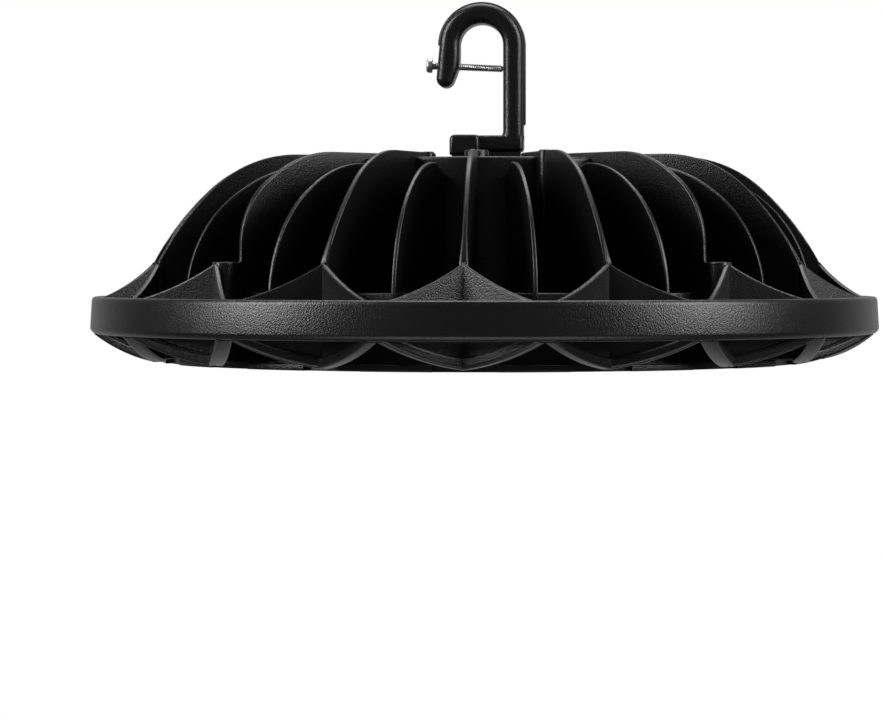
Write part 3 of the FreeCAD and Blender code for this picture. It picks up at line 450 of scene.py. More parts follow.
@dataclass(frozen=True)
class PowderCoat(Finish):
    """Fine-texture powder coat: baked grains that stand close together, each a soft bump."""

    def relief(self, tree: bpy.types.NodeTree, place: bpy.types.NodeSocket) -> bpy.types.NodeSocket:
        """Rounded grains, from the distance to the nearest seed, over a slower unevenness.

        Args:
            tree: the material's node tree.
            place: coordinates of the piece.

        Returns:
            The socket of the height, between 0 and 1.
        """
        grains = add_node(tree, "ShaderNodeTexVoronoi", {"feature": "F1"}, {
            "Vector": place, "Scale": 1 / (self.grain_mm * MM)})
        peel = add_node(tree, "ShaderNodeTexNoise", inputs={
            "Vector": place, "Scale": 1 / (self.grain_mm * 1.3 * MM), "Detail": 2.0,
            "Roughness": 0.7})
        crown = add_node(tree, "ShaderNodeMath", {"operation": "SUBTRACT"},
                         {0: 1.0, 1: grains.outputs["Distance"]})
        blend = add_node(tree, "ShaderNodeMath", {"operation": "MULTIPLY_ADD"},
                         {0: peel.outputs["Fac"], 1: 0.5, 2: crown.outputs["Value"]})
        return add_node(tree, "ShaderNodeMath", {"operation": "MULTIPLY"},
                        {0: blend.outputs["Value"], 1: 0.6}).outputs["Value"]


@dataclass(frozen=True)
class ClearMoulding(Finish):
    """Clear polycarbonate, injection moulded: polished faces that let the light through."""

    transmission: float = 1.0

    def shader_inputs(self) -> dict:
        """The surface shader's constants, with the transmission."""
        return {**super().shader_inputs(), "Transmission Weight": self.transmission}


# Polyester powder, sprayed and baked: near black, a satin sheen broken up by sand-sized grains.
BODY_COAT = PowderCoat("fine_texture_powder_coat", "#090909", "#0c0c0d", 0.27, 0.1,
                       grain_mm=0.56, relief_mm=0.11, ior=1.5)
# Passivated zinc on steel: grey, faintly cloudy, with a soft shine.
ZINC = Finish("bright_zinc_plate", "#dcddda", "#c6c8c8", 0.26, 0.16, metallic=1.0,
              grain_mm=0.3, relief_mm=0.004, tone_mm=4.0)
# Nylon 66, moulded in a spark-eroded tool: dull black with a fine even grain.
NYLON = Finish("moulded_black_nylon", "#101011", "#151516", 0.48, 0.12, grain_mm=0.35,
               relief_mm=0.012, ior=1.53)
# Nitrile rubber: matt black, slightly grey where it has been handled.
RUBBER = Finish("black_nitrile_rubber", "#0d0d0d", "#171717", 0.72, 0.12, grain_mm=0.6,
                relief_mm=0.01, ior=1.52)
# Silicone rubber sheet, cut: translucent grey-white and matt.
SILICONE = Finish("silicone_sheet", "#b9b8b2", "#c6c5c0", 0.62, 0.1, grain_mm=0.8, relief_mm=0.01,
                  ior=1.41)
# Polybutylene, moulded and white: even, with a low sheen.
WHITE_MOULDING = Finish("white_polyester_moulding", "#d9d8d0", "#cfcdc4", 0.42, 0.1,
                        relief_mm=0.008, ior=1.57)
# White solder mask over an aluminium board: glossy enamel with a little orange peel.
WHITE_MASK = Finish("white_solder_mask", "#e4e4df", "#dadad4", 0.28, 0.1, grain_mm=1.2,
                    relief_mm=0.006, ior=1.55)
# Green solder mask over glass laminate.
GREEN_MASK = Finish("green_solder_mask", "#12502a", "#0e4423", 0.3, 0.1, grain_mm=1.0,
                    relief_mm=0.008, ior=1.55)
# Phosphor gel in a white package: deep yellow, like set custard.
PHOSPHOR = Finish("phosphor_gel", "#e3b93c", "#d9ab2c", 0.35, 0.1, grain_mm=0.2, relief_mm=0.01,
                  tone_mm=1.0, ior=1.41)
# Polyester tape wound on the transformer: amber, with a shine.
TAPE = Finish("amber_polyester_tape", "#b98a1d", "#a3761a", 0.3, 0.1, grain_mm=2.0,
              relief_mm=0.03, ior=1.6)
# Enamelled copper wire.
COPPER_WIRE = Finish("enamelled_copper_wire", "#8c4321", "#a35a2c", 0.3, 0.1, metallic=1.0,
                     grain_mm=0.7, relief_mm=0.08)
# Heat-shrunk sleeve of an electrolytic capacitor.
SLEEVE = Finish("black_shrink_sleeve", "#14171d", "#1a1e26", 0.32, 0.08, ior=1.54)
# Film capacitor in a flame-proof box.
RED_BOX = Finish("red_film_capacitor_box", "#7d1c12", "#8c2518", 0.4, 0.1, ior=1.57)
# Silicone insulation of the short leads.
LEAD = Finish("white_silicone_insulation", "#cfcbbd", "#c3bfb0", 0.5, 0.1, ior=1.41)
# Clear polycarbonate, polished tool.
CLEAR = ClearMoulding("clear_polycarbonate", "#f4f8f8", "#eff4f4", 0.03, 0.02, grain_mm=6.0,
                      relief_mm=0.004, ior=1.58)


def as_piece(shape: Shape, name: str, finish: Finish, body: Body,
             nodes: tuple = (), shading: Shading = Shading.CREASED) -> bpy.types.Object:
    """Put a shape in the scene as a piece of the lamp.

    Args:
        shape: the closed surface, in millimetres.
        name: the piece's name.
        finish: its finish.
        body: the rigid body it rides on.
        nodes: the solids it stands for.
        shading: whether its corners keep a crease.

    Returns:
        The object, at the origin, unturned and unscaled.
    """
    mesh = bpy.data.meshes.new(name)
    mesh.from_pydata((shape.points * MM).tolist(), [], shape.faces)
    mesh.validate()
    mesh.shade_smooth()
    if shading is Shading.CREASED:
        mesh.set_sharp_from_angle(angle=math.radians(shading.value))
    mesh.materials.append(finish.material())
    piece = bpy.data.objects.new(name, mesh)
    bpy.context.scene.collection.objects.link(piece)
    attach(piece, body.value)
    if nodes:
        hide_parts(*nodes)
    LOG.info("%s: %d faces, %s", name, len(mesh.polygons), finish.name)
    return piece


# ------------------------------------------------------------------ heat sink

@dataclass
class HeatSink:
    """The die-cast body: hub, drum, fins, zigzag webs and rim, all in one powder coat.

    Args:
        rim_draft: how much narrower the rim is at its top.
        fin_crest, fin_root: height of a main fin's crest, and the radius where it starts.
        tip_radius, tip_height: where a fin parts into two webs, and the top of that edge.
        flare, flare_start: how many times thicker a fin grows from this radius to its tip.
        notch_radius: where a notched fin ends, over a bracket boss.
        web_low, web_high: height of a web's lower edge at the fin tip and at the rim.
        band_low, band_high: the same for the band along it.
        flange_gap: width of the gap in the flange under each fin.
        gland_pitches: where the cable gland is, in pitches from +X.
    """

    rim_radius: float = 151.5
    rim_wall: float = 4.0
    rim_low: float = 11.2
    rim_high: float = 25.2
    rim_draft: float = 0.7
    fins: int = 16
    fin_wall: float = 1.9
    fin_crest: float = 79.1
    fin_root: float = 43.5
    tip_radius: float = 129.0
    tip_height: float = 38.2
    flare: float = 1.7
    flare_start: float = 121.0
    shoulder_bend: float = 47.0
    flank_bend: float = 106.0
    notch_radius: float = 118.4
    notch_bend: float = 30.0
    rib_wall: float = 1.6
    rib_tip: float = 126.7
    rib_foot: float = 8.0
    web_wall: float = 2.0
    web_low: float = 2.1
    web_high: float = 11.9
    web_bend: float = 100.0
    band_wall: float = 6.0
    band_low: float = 1.0
    band_high: float = 10.8
    band_bend: float = 98.0
    band_height: float = 4.2
    wall: float = 3.5
    hub_radius: float = 60.5
    hub_top: float = 77.1
    plate_top: float = 26.0
    drum_radius: float = 118.0
    flange_radius: float = 124.0
    flange_gap: float = 21.5
    gland_pitches: float = 3.5
    gland_height: float = 54.0
    boss_radius: float = 4.6
    boss_low: float = 11.0
    boss_hole: float = 2.1
    boss_circle: float = 125.0
    boss_hole_depth: float = 14.0
    slot: str = "black_powder_coat"

    @property
    def pitch(self) -> float:
        """The angle between two main fins."""
        return 360.0 / self.fins

    @property
    def web_frame(self) -> tuple:
        """How a web lies between a fin tip and the middle of the rim's wall.

        Returns:
            Its length in its own plane, and the degrees by which it turns off the fin.
        """
        rim = self.rim_radius - self.rim_wall / 2
        half = math.radians(self.pitch / 2)
        run, rise = rim * math.cos(half) - self.tip_radius, rim * math.sin(half)
        return math.hypot(run, rise), math.degrees(math.atan2(rise, run))

    def keep(self, shape: Shape, name: str, shading: Shading = Shading.CREASED) -> None:
        """Add one piece of the casting.

        Args:
            shape: its surface.
            name: its name.
            shading: whether its corners keep a crease.
        """
        as_piece(shape, name, BODY_COAT, Body.LAMP, ("heat_sink",), shading)

    def fin_outline(self, notched: bool) -> np.ndarray:
        """The side view of a main fin: crest, round shoulder and flank down to the web.

        The shoulder is two arcs, of shoulder_bend and flank_bend. In a notched fin the second
        one is of notch_bend, and ends upright over the notch.

        Args:
            notched: whether the fin ends at the notch over a bracket boss.

        Returns:
            The outline, anticlockwise in radius and height.
        """
        corners = [(self.hub_radius - 2, 22.0), (116.0, 22.0), (119.6, 2.4),
                   (self.tip_radius, 1.9)]
        bends, rounds = {}, {}
        if notched:
            corners += [(self.tip_radius, self.tip_height), (self.notch_radius, self.tip_height),
                        (self.notch_radius - 0.2, 44.5)]
            bends[6] = (self.notch_bend, Bend.LEFT)
            rounds.update({4: 0.8, 5: 1.0})
            shoulder = (103.5, 69.6)
        else:
            corners += [(self.tip_radius, self.tip_height)]
            bends[4] = (self.flank_bend, Bend.LEFT)
            shoulder = (108.0, 65.7)
        last = len(corners)
        corners += [shoulder, (76.0, self.fin_crest), (self.fin_root, self.fin_crest),
                    (self.fin_root, self.hub_top - 1), (self.hub_radius - 2, self.hub_top - 1)]
        bends[last] = (self.shoulder_bend, Bend.LEFT)
        rounds[last + 2] = 1.2
        return outline(corners, bends, rounds, steps=14)

    def flared(self, shape: Shape, start: float) -> Shape:
        """Thicken a fin towards its tip, where it parts into two webs.

        The half thickness is multiplied by 1 + (flare - 1) * u^2, where u runs from 0 at start
        to 1 at the tip.

        Args:
            shape: the fin, stood along +X.
            start: radius at which it begins to thicken.

        Returns:
            The thickened copy.
        """
        along = np.clip((shape.points[:, 0] - start) / (self.tip_radius - start), 0, 1)
        grow = 1 + (self.flare - 1) * along**2
        points = shape.points.copy()
        points[:, 1] *= grow
        return Shape(points, shape.faces)

    def make_fins(self) -> None:
        """Main fins, four of them notched over a bracket boss."""
        for notched in (False, True):
            fin = plate(self.fin_outline(notched), self.fin_wall, 0.55)
            fin = self.flared(fin.upright(), self.flare_start)
            turns = [n * self.pitch for n in range(self.fins) if (n % 4 == 2) == notched]
            self.keep(ring_of(fin, turns), "notched_fins" if notched else "main_fins")

    def make_ribs(self) -> None:
        """Short fins at the half pitches, all but the one in front of the cable gland."""
        rib = plate(outline([
            (self.hub_radius - 2, 22.0), (116.0, 22.0), (119.0, self.rib_foot),
            (self.rib_tip, self.rib_foot), (self.rib_tip, self.plate_top), (103.4, 65.6),
            (74.0, 74.5), (self.hub_radius - 1, 70.0),
        ], {4: (48.0, Bend.LEFT), 5: (52.0, Bend.LEFT)}, {7: 0.5}, 14), self.rib_wall, 0.5)
        gap = self.gland_pitches
        turns = [(n + 0.5) * self.pitch for n in range(self.fins) if n + 0.5 != gap]
        self.keep(ring_of(rib.upright(), turns), "short_fins")

    def in_web_planes(self, shape: Shape) -> Shape:
        """Set a plate, drawn from the fin tip outwards, on both sides of every fin tip.

        Args:
            shape: the plate in its own plane, with the fin tip at x = 0.

        Returns:
            The whole zigzag.
        """
        _, angle = self.web_frame
        both = []
        for side in (1, -1):
            turn = math.radians(angle) * side
            both.append(shape.stood((self.tip_radius, 0, 0),
                                    (math.cos(turn), math.sin(turn), 0), (0, 0, 1)))
        return ring_of(together(both), [n * self.pitch for n in range(self.fins)])

    def make_webs(self) -> None:
        """The zigzag of webs, and the thick round-edged band along their lower edge."""
        span, _ = self.web_frame
        web = plate(outline([(-0.4, self.web_low), (span, self.web_high),
                             (span, self.rim_high - 1.4), (-0.4, self.tip_height)],
                            {2: (self.web_bend, Bend.RIGHT)}, steps=16), self.web_wall, 0.55)
        self.keep(self.in_web_planes(web), "webs")
        end = span - self.band_wall / 3
        near, far, high = self.band_low, self.band_high, self.band_height
        bend = self.band_bend
        band = plate(outline([(0, near), (end, far), (end, far + high), (0, near + high)],
                             {0: (bend, Bend.LEFT), 2: (bend, Bend.RIGHT)}, steps=16),
                     self.band_wall, 1.1)
        self.keep(self.in_web_planes(band), "bands")

    def make_rim(self) -> None:
        """The outer ring, drafted towards its top, with a bevelled foot and a round shoulder."""
        inner, top = self.rim_radius - self.rim_wall, self.rim_radius - self.rim_draft
        profile = outline([
            (inner, self.rim_low), (self.rim_radius - 1.5, self.rim_low),
            (self.rim_radius, self.rim_low + 1.5), (top, self.rim_high), (inner, self.rim_high),
        ], rounds={0: 0.6, 1: 0.7, 2: 0.9, 3: 1.7, 4: 1.0})
        self.keep(lathe(profile, 384), "rim", Shading.SMOOTH)

    def make_drum(self) -> None:
        """Hub, plate and drum in one turned form, and the flange with a gap under each fin."""
        hub, drum, top, wall = self.hub_radius, self.drum_radius, self.plate_top, self.wall
        ceiling = self.hub_top - wall
        profile = outline([
            (0, self.hub_top), (0, 68.1), (19, 68.1), (19, ceiling), (hub - wall, ceiling),
            (hub - wall, 21.5), (drum - wall, 21.5), (drum - wall, 14.0), (107, 10.5), (107, 6),
            (117.9, 6), (117.9, 0), (drum + wall, 0), (drum + wall, 2.5), (drum, top + 1.4),
            (drum - 2, top + 1.4), (drum - 2, top), (hub + 1.5, top), (hub + 1.5, 39.0),
            (hub, 39.0), (hub, self.hub_top),
        ], rounds={13: 0.6, 14: 0.7, 15: 0.6, 16: 0.5, 17: 1.5, 18: 0.6, 20: 1.2})
        self.keep(lathe(profile, 256), "hub_and_drum")
        flange = outline([(119, 0), (self.flange_radius, 0), (self.flange_radius, 2.5), (119, 2.5)],
                         rounds={1: 0.5, 2: 0.5})
        half = math.degrees(math.asin(self.flange_gap / 2 / self.drum_radius))
        pieces = [sector(flange, n * self.pitch + half, (n + 1) * self.pitch - half, 8)
                  for n in range(self.fins)]
        self.keep(together(pieces), "flange")

    def make_posts(self) -> None:
        """Bracket bosses behind the notched fins, ejector beads and the post on the front fin."""
        def rod(radius: float, low: float, high: float, hole: float = 0.0) -> Shape:
            """An upright rod with a round upper edge.

            Args:
                radius: its radius.
                low: height of its foot.
                high: height of its top.
                hole: radius of a blind hole in its top, or 0 for none.

            Returns:
                The rod on the lamp's axis.
            """
            corners = [(0, low), (radius, low), (radius, high)]
            if hole:
                end = high - self.boss_hole_depth
                corners += [(hole, high), (hole, end), (0, end)]
                return lathe(outline(corners, rounds={2: 0.6, 3: 0.4}), 32)
            return lathe(outline(corners + [(0, high)], rounds={2: 0.7}), 32)

        boss = rod(self.boss_radius, self.boss_low, self.tip_height, self.boss_hole)
        turns = [n * self.pitch for n in range(self.fins) if n % 4 == 2]
        self.keep(ring_of(boss.moved(self.boss_circle, 0, 0), turns), "bracket_bosses")
        front = -90.0
        beads = [rod(2.3, 24.0, self.fin_crest + 0.3).moved(67.0, 0, 0).turned(front + self.pitch),
                 rod(2.3, 75.0, self.fin_crest + 0.3).moved(48.6, 0, 0).turned(front - self.pitch),
                 rod(4.5, 75.0, 79.6).moved(52.5, 0, 0).turned(front)]
        self.keep(together(beads), "ejector_beads")

    def make_pads(self) -> None:
        """The two-level pad under the foot of the hook, and the flat boss round the gland."""
        cross = plate(outline([(-11.8, -13), (-2.4, -13), (-2.4, 13), (-11.8, 13)]), 4.6, 0.5)
        bar = plate(outline([(-1.4, -6.5), (14.2, -6.5), (14.2, 6.5), (-1.4, 6.5)]), 5.9, 0.5)
        pads = together([cross.moved(0, 0, 79.6 - 2.3), bar.moved(0, 0, 80.9 - 2.95)])
        self.keep(pads, "hook_pad")
        turn = math.radians(self.gland_pitches * self.pitch)
        out = (math.cos(turn), math.sin(turn), 0)
        boss = lathe(outline([(8.05, -9.5), (11.5, -9.5), (11.5, 0), (8.05, 0)],
                             rounds={2: 0.6}), 48)
        side = (math.sin(turn), -math.cos(turn), 0)
        seat = self.hub_radius + 3.5
        boss = boss.stood((out[0] * seat, out[1] * seat, self.gland_height), (0, 0, 1), side)
        self.keep(boss, "gland_boss")

    def build(self) -> None:
        """Build every piece of the casting."""
        self.make_fins()
        self.make_ribs()
        self.make_webs()
        self.make_rim()
        self.make_drum()
        self.make_posts()
        self.make_pads()


# ------------------------------------------------------------------ hook and its screws

def cross_recess(radius: float, across: float, deep: float, rise: float = 0.0,
                 rings: int = 14, segments: int = 64) -> Shape:
    """The face of a screw head with a cross recess, as a height over a round grid.

    With r the distance from the middle and d the smaller of |x| and |y|, the recess is
    deep * (1.4 - 2 d / across), held between 0 and deep, times (1 - 0.4 r / radius). It fades
    out between 0.58 and 0.66 of the radius. The crown is rise * (1 - (r / radius)^2).

    Args:
        radius: radius of the face.
        across: width of each arm of the cross.
        deep: depth of the recess.
        rise: height of the crowned face at its middle.
        rings: rings of the grid.
        segments: steps round it.

    Returns:
        The open face, with its rim at height 0 as its last ring.
    """
    radii = np.linspace(0, radius, rings + 1)[1:]
    turn = np.arange(segments) * 2 * math.pi / segments
    x, y = np.outer(radii, np.cos(turn)), np.outer(radii, np.sin(turn))
    reach = np.hypot(x, y)
    near = np.clip(1.4 - np.minimum(abs(x), abs(y)) / (across / 2), 0, 1)
    fade = np.clip((0.66 * radius - reach) / (0.08 * radius), 0, 1)
    height = rise * (1 - (reach / radius) ** 2) - deep * near * fade * (1 - 0.4 * reach / radius)
    points = np.stack([x, y, height], -1).reshape(-1, 3)
    grid = np.arange(len(points)).reshape(rings, segments) + 1
    ahead = np.roll(grid, -1, 1)
    quads = np.stack([grid[:-1], grid[1:], ahead[1:], ahead[:-1]], -1).reshape(-1, 4).tolist()
    fans = [[0, a, b] for a, b in zip(grid[0].tolist(), ahead[0].tolist())]
    return Shape(np.vstack([[[0, 0, rise - deep]], points]), fans + quads)


def screw(head: np.ndarray, face: Shape, radius: float, length: float, thread: float,
          start: float = 0.0) -> Shape:
    """A screw that points along +z with the seat of its head at z = 0.

    The head's side is a profile turned about z. The shank is a grid of turn and length, whose
    radius drops by 0.42 * thread * |2 (n mod 1) - 1| under its crest, with
    n = z / thread + turn / 360.

    Args:
        head: open profile of radius and height from the rim of the face to the shank.
        face: the head's face, looking down -z once turned over.
        radius: the shank's outer radius.
        length: length under the head.
        thread: pitch of the thread; 0 for a plain shank.
        start: where the thread starts.

    Returns:
        The closed screw.
    """
    segments = 64
    turn = np.arange(segments) * 2 * math.pi / segments
    steps = max(int((length - start) / (thread / 5 if thread else 4)), 2)
    z = np.concatenate([np.linspace(0, start, 3)[1:] if start else [],
                        np.linspace(start, length - radius / 2, steps)])
    phase = z[:, None] / (thread or 1) + turn[None, :] / (2 * math.pi)
    ridge = np.abs(2 * (phase % 1) - 1) * thread * 0.42
    ridge = ridge * (z[:, None] > start + 0.01)
    shank = np.repeat(radius, segments)[None, :] - ridge
    r = np.vstack([np.repeat(head[:, :1], segments, 1), shank,
                   np.full((1, segments), radius * 0.55)])
    h = np.concatenate([head[:, 1], z, [length]])
    sides = np.stack([r * np.cos(turn), r * np.sin(turn), np.repeat(h[:, None], segments, 1)], -1)
    grid = np.arange(sides.shape[0] * segments).reshape(-1, segments)
    ahead = np.roll(grid, -1, 1)
    quads = np.stack([grid[:-1], ahead[:-1], ahead[1:], grid[1:]], -1).reshape(-1, 4).tolist()
    tip = grid[-1].tolist()
    body = Shape(sides.reshape(-1, 3), quads + [tip])
    flipped = Shape(face.points * [1, -1, -1] + [0, 0, head[0, 1]], face.faces)
    return together([body, flipped])


@dataclass
class Hook:
    """The cast hook on the hub: foot, post, round eye, leaning limb, rib and screws.

    Args:
        edge, foot_edge: radii of the round edges of the bent bar and of the foot.
        axis_left: how far the eye's axis lies left of the lamp's.
        height, eye, bar: height of the eye's axis, its inner radius and the bar's width.
        bar_low, plate_low: undersides of the foot's bar and of its cross plate.
        screw_offset: distance of each screw from the hook's plane.
        rib_rise: how far the rib stands out round the eye's back.
    """

    depth: float = 15.0
    edge: float = 3.0
    foot_edge: float = 1.5
    axis_left: float = 1.0
    height: float = 122.0
    eye: float = 8.4
    bar: float = 7.8
    foot_top: float = 87.2
    bar_low: float = 80.9
    plate_low: float = 79.6
    plate_left: float = -12.8
    plate_right: float = -1.4
    plate_width: float = 28.0
    screw_offset: float = 8.5
    rib_rise: float = 0.75
    rib_width: float = 6.0
    slot: str = "black_powder_coat_hook"

    def outline(self) -> np.ndarray:
        """The post, eye and limb from the front; the rounds are those of the casting.

        Returns:
            The outline, anticlockwise from the foot of the post.
        """
        left, top, outer = -self.axis_left, self.height, self.eye + self.bar
        post, low = 5.2, self.bar_low + 1.3
        lean, end, end_left, end_height = math.radians(22), 3.4, -15.0, 109.2
        return outline([
            (post, low), (left + outer, low), (left + outer, top), (left, top + outer),
            (left - outer, top), (end_left - end, end_height),
            (end_left + end * math.cos(lean), end_height - end * math.sin(lean)),
            (left - self.eye, 114.0), (left - self.eye, top), (left, top + self.eye),
            (left + self.eye, top), (left + self.eye, self.foot_top), (post, self.foot_top),
        ], {2: (outer, Bend.LEFT), 3: (outer, Bend.LEFT), 5: (end, Bend.LEFT),
            8: (self.eye, Bend.RIGHT), 9: (self.eye, Bend.RIGHT)},
            {1: 3.5, 7: 3.6, 11: 1.8}, 16)

    def make_casting(self) -> None:
        """The hook itself: the bent bar, the foot in two steps and the rib round the back."""
        left, top, outer = -self.axis_left, self.height, self.eye + self.bar
        body = plate(self.outline(), self.depth - 0.2, self.edge, 6)
        bar = plate(outline([(-5.0, self.bar_low), (left + outer, self.bar_low),
                             (left + outer, self.foot_top), (-5.0, self.foot_top)],
                            rounds={1: 1.8}), self.depth, self.foot_edge, 4)
        foot = plate(outline([(self.plate_left, self.plate_low),
                              (self.plate_right, self.plate_low),
                              (self.plate_right, self.foot_top),
                              (self.plate_left, self.foot_top)], rounds={2: 1.8, 3: 2.2}),
                     self.plate_width, self.foot_edge, 4)
        rib, inner = outer + self.rib_rise, self.eye + self.bar / 2
        spine = plate(outline([
            (left + inner, 91.0), (left + outer, 91.0), (left + rib, 91.0 + self.rib_rise),
            (left + rib, top), (left, top + rib), (left - rib, top), (left - inner, top),
            (left, top + inner), (left + inner, top),
        ], {3: (rib, Bend.LEFT), 4: (rib, Bend.LEFT), 6: (inner, Bend.RIGHT),
            7: (inner, Bend.RIGHT)}, {5: 0.8}, 20), self.rib_width, 0.55)
        casting = together([body, bar, foot, spine]).upright()
        as_piece(casting, "cast_hook", BODY_COAT, Body.LAMP, ("hook",))

    def make_screws(self) -> None:
        """The two countersunk screws of the foot, heads up."""
        sunk = screw(np.array([[4.55, -2.75], [4.6, -2.4], [2.5, -0.1]]),
                     cross_recess(4.5, 1.3, 1.5), 2.5, 13.0, 0.8)
        middle = (self.plate_left + self.plate_right) / 2
        pair = [Shape(sunk.points * [1, -1, -1], sunk.faces).moved(middle, y, 84.25)
                for y in (-self.screw_offset, self.screw_offset)]
        as_piece(together(pair), "countersunk_hook_screws", ZINC, Body.LAMP,
                 ("hook_screws",))

    def build(self) -> None:
        """Build the hook and its two screws."""
        self.make_casting()
        self.make_screws()


@dataclass
class KeeperScrew:
    """The machine screw that closes the hook's mouth, with a crowned head and a thread.

    The thread's real pitch is 0.5 mm, and it is drawn coarser, so that it shows in the render.
    """

    radius: float = 1.45
    head_radius: float = 2.75
    head: float = 2.3
    height: float = 114.4
    tilt: float = 2.6
    thread: float = 0.78
    left: float = -20.2
    end: float = 7.15

    def build(self) -> None:
        """Build the screw along its leaning axis."""
        tilt = math.radians(self.tilt)
        length = (self.end - self.left) / math.cos(tilt)
        t = np.linspace(0, math.pi / 2, 6)[:, None]
        shoulder = np.column_stack([self.head_radius - 0.9 * (1 - np.sin(t)),
                                    -self.head + 0.9 * (1 - np.cos(t))])
        head = np.vstack([shoulder, [[self.head_radius, -0.15], [self.head_radius - 0.15, 0.0],
                                     [self.radius, 0.0]]])
        whole = screw(head, cross_recess(self.head_radius - 0.9, 0.75, 1.2, 0.12),
                      self.radius, length, self.thread, 1.2)
        whole = whole.stood((self.left, 0, self.height), (math.sin(tilt), 0.0, math.cos(tilt)),
                            (0.0, -1.0, 0.0))
        as_piece(whole, "keeper_machine_screw", ZINC, Body.KEEPER,
                 ("keeper_screw",))


# ------------------------------------------------------------------ lens

@dataclass
class Lens:
    """The clear cover: a disc with a centring ring, a dome under each chip and eight screws."""

    radius: float = 117.5
    low: float = 2.0
    top: float = 5.0
    ring: float = 105.0
    ring_wall: float = 3.0
    ring_top: float = 8.0
    first_circle: float = 24.0
    circle_step: float = 18.0
    circles: int = 5
    dome: float = 6.2
    dome_drop: float = 1.7
    screw_circle: float = 112.0
    screws: int = 8
    first_screw: float = 11.25
    sink: float = 1.0
    seat: float = 3.0

    def drop(self, reach: np.ndarray, turn: np.ndarray) -> np.ndarray:
        """How far the underside hangs below its plane.

        Circle k has 8 (k + 1) domes. With d the distance to the nearest dome's middle, each dome
        hangs by dome_drop * (1 - (d / dome)^2)^1.5, and each screw's sink rises by sink, faded
        out between 3.3 and 4.3 mm from the screw.

        Args:
            reach: distance from the axis.
            turn: angle in radians.

        Returns:
            The drop in millimetres, positive downwards.
        """
        def nearest(circle: float, count: int, first: float = 0.0) -> np.ndarray:
            """Distance to the nearest of count points on a circle.

            Args:
                circle: the circle's radius.
                count: how many points are on it.
                first: angle of one of them, in radians.

            Returns:
                The distance, by the law of cosines.
            """
            step = 2 * math.pi / count
            off = (turn - first + step / 2) % step - step / 2
            return np.sqrt(reach**2 + circle**2 - 2 * reach * circle * np.cos(off))

        away = np.min([nearest(self.first_circle + self.circle_step * k, 8 * (k + 1))
                       for k in range(self.circles)], axis=0)
        domes = self.dome_drop * np.clip(1 - (away / self.dome) ** 2, 0, 1) ** 1.5
        from_screw = nearest(self.screw_circle, self.screws, math.radians(self.first_screw))
        return domes - self.sink * np.clip(4.3 - from_screw, 0, 1)

    def build(self) -> None:
        """Build the cover and its screws."""
        segments = 512
        lower = np.linspace(0, self.radius - 0.5, 86)
        back = np.array([[self.radius, self.low + 0.5], [self.radius, self.top],
                         [self.ring, self.top], [self.ring, self.ring_top],
                         [self.ring - self.ring_wall, self.ring_top],
                         [self.ring - self.ring_wall, self.top], [0, self.top]])
        profile = np.vstack([np.column_stack([lower, np.full(len(lower), self.low)]), back])
        cover = lathe(profile, segments)
        reach = np.hypot(cover.points[:, 0], cover.points[:, 1])
        turn = np.arctan2(cover.points[:, 1], cover.points[:, 0])
        under = np.arange(len(cover.points)) < len(lower) * segments
        cover.points[under, 2] -= self.drop(reach, turn)[under]
        as_piece(cover, "domed_lens_cover", CLEAR, Body.LAMP,
                 ("lens_plate",))
        head = np.array([[2.3, -1.5], [2.65, -1.3], [2.8, -0.9], [2.8, 0.0], [1.5, 0.0]])
        pan = screw(head, cross_recess(2.3, 0.75, 0.9), 1.5, 6.0, 0.0)
        pan = pan.moved(self.screw_circle, 0, self.seat)
        turns = [self.first_screw + n * 360 / self.screws for n in range(self.screws)]
        as_piece(ring_of(pan, turns), "recessed_lens_screws", ZINC, Body.LAMP,
                 ("lens_screws",))


# ------------------------------------------------------------------ finishes of the solids

NODE_FINISHES = {
    "gland_ring": RUBBER, "gland_seal": RUBBER,
    "gland_lock_nut": NYLON, "gland_body": NYLON, "gland_cap": NYLON,
    "driver_tray": WHITE_MOULDING, "terminal_block": WHITE_MOULDING,
    "light_connector": WHITE_MOULDING,
    "tray_screws": ZINC, "driver_screws": ZINC, "light_board_screws": ZINC, "lens_screws": ZINC,
    "driver_board": GREEN_MASK, "transformer": TAPE, "choke": COPPER_WIRE, "capacitors": SLEEVE,
    "film_capacitor": RED_BOX, "light_board": WHITE_MASK, "light_chips": PHOSPHOR,
    "light_leads": LEAD, "lens_gasket": SILICONE, "lens_plate": CLEAR,
}


def dress_solids(nodes: dict) -> None:
    """Give each solid that shows its finish.

    Args:
        nodes: the frame's solids by name.
    """
    for name, finish in NODE_FINISHES.items():
        if name in nodes:
            mesh = nodes[name].data
            mesh.materials.clear()
            mesh.materials.append(finish.material())
            LOG.info("%s: %s", name, finish.name)


# ------------------------------------------------------------------ studio

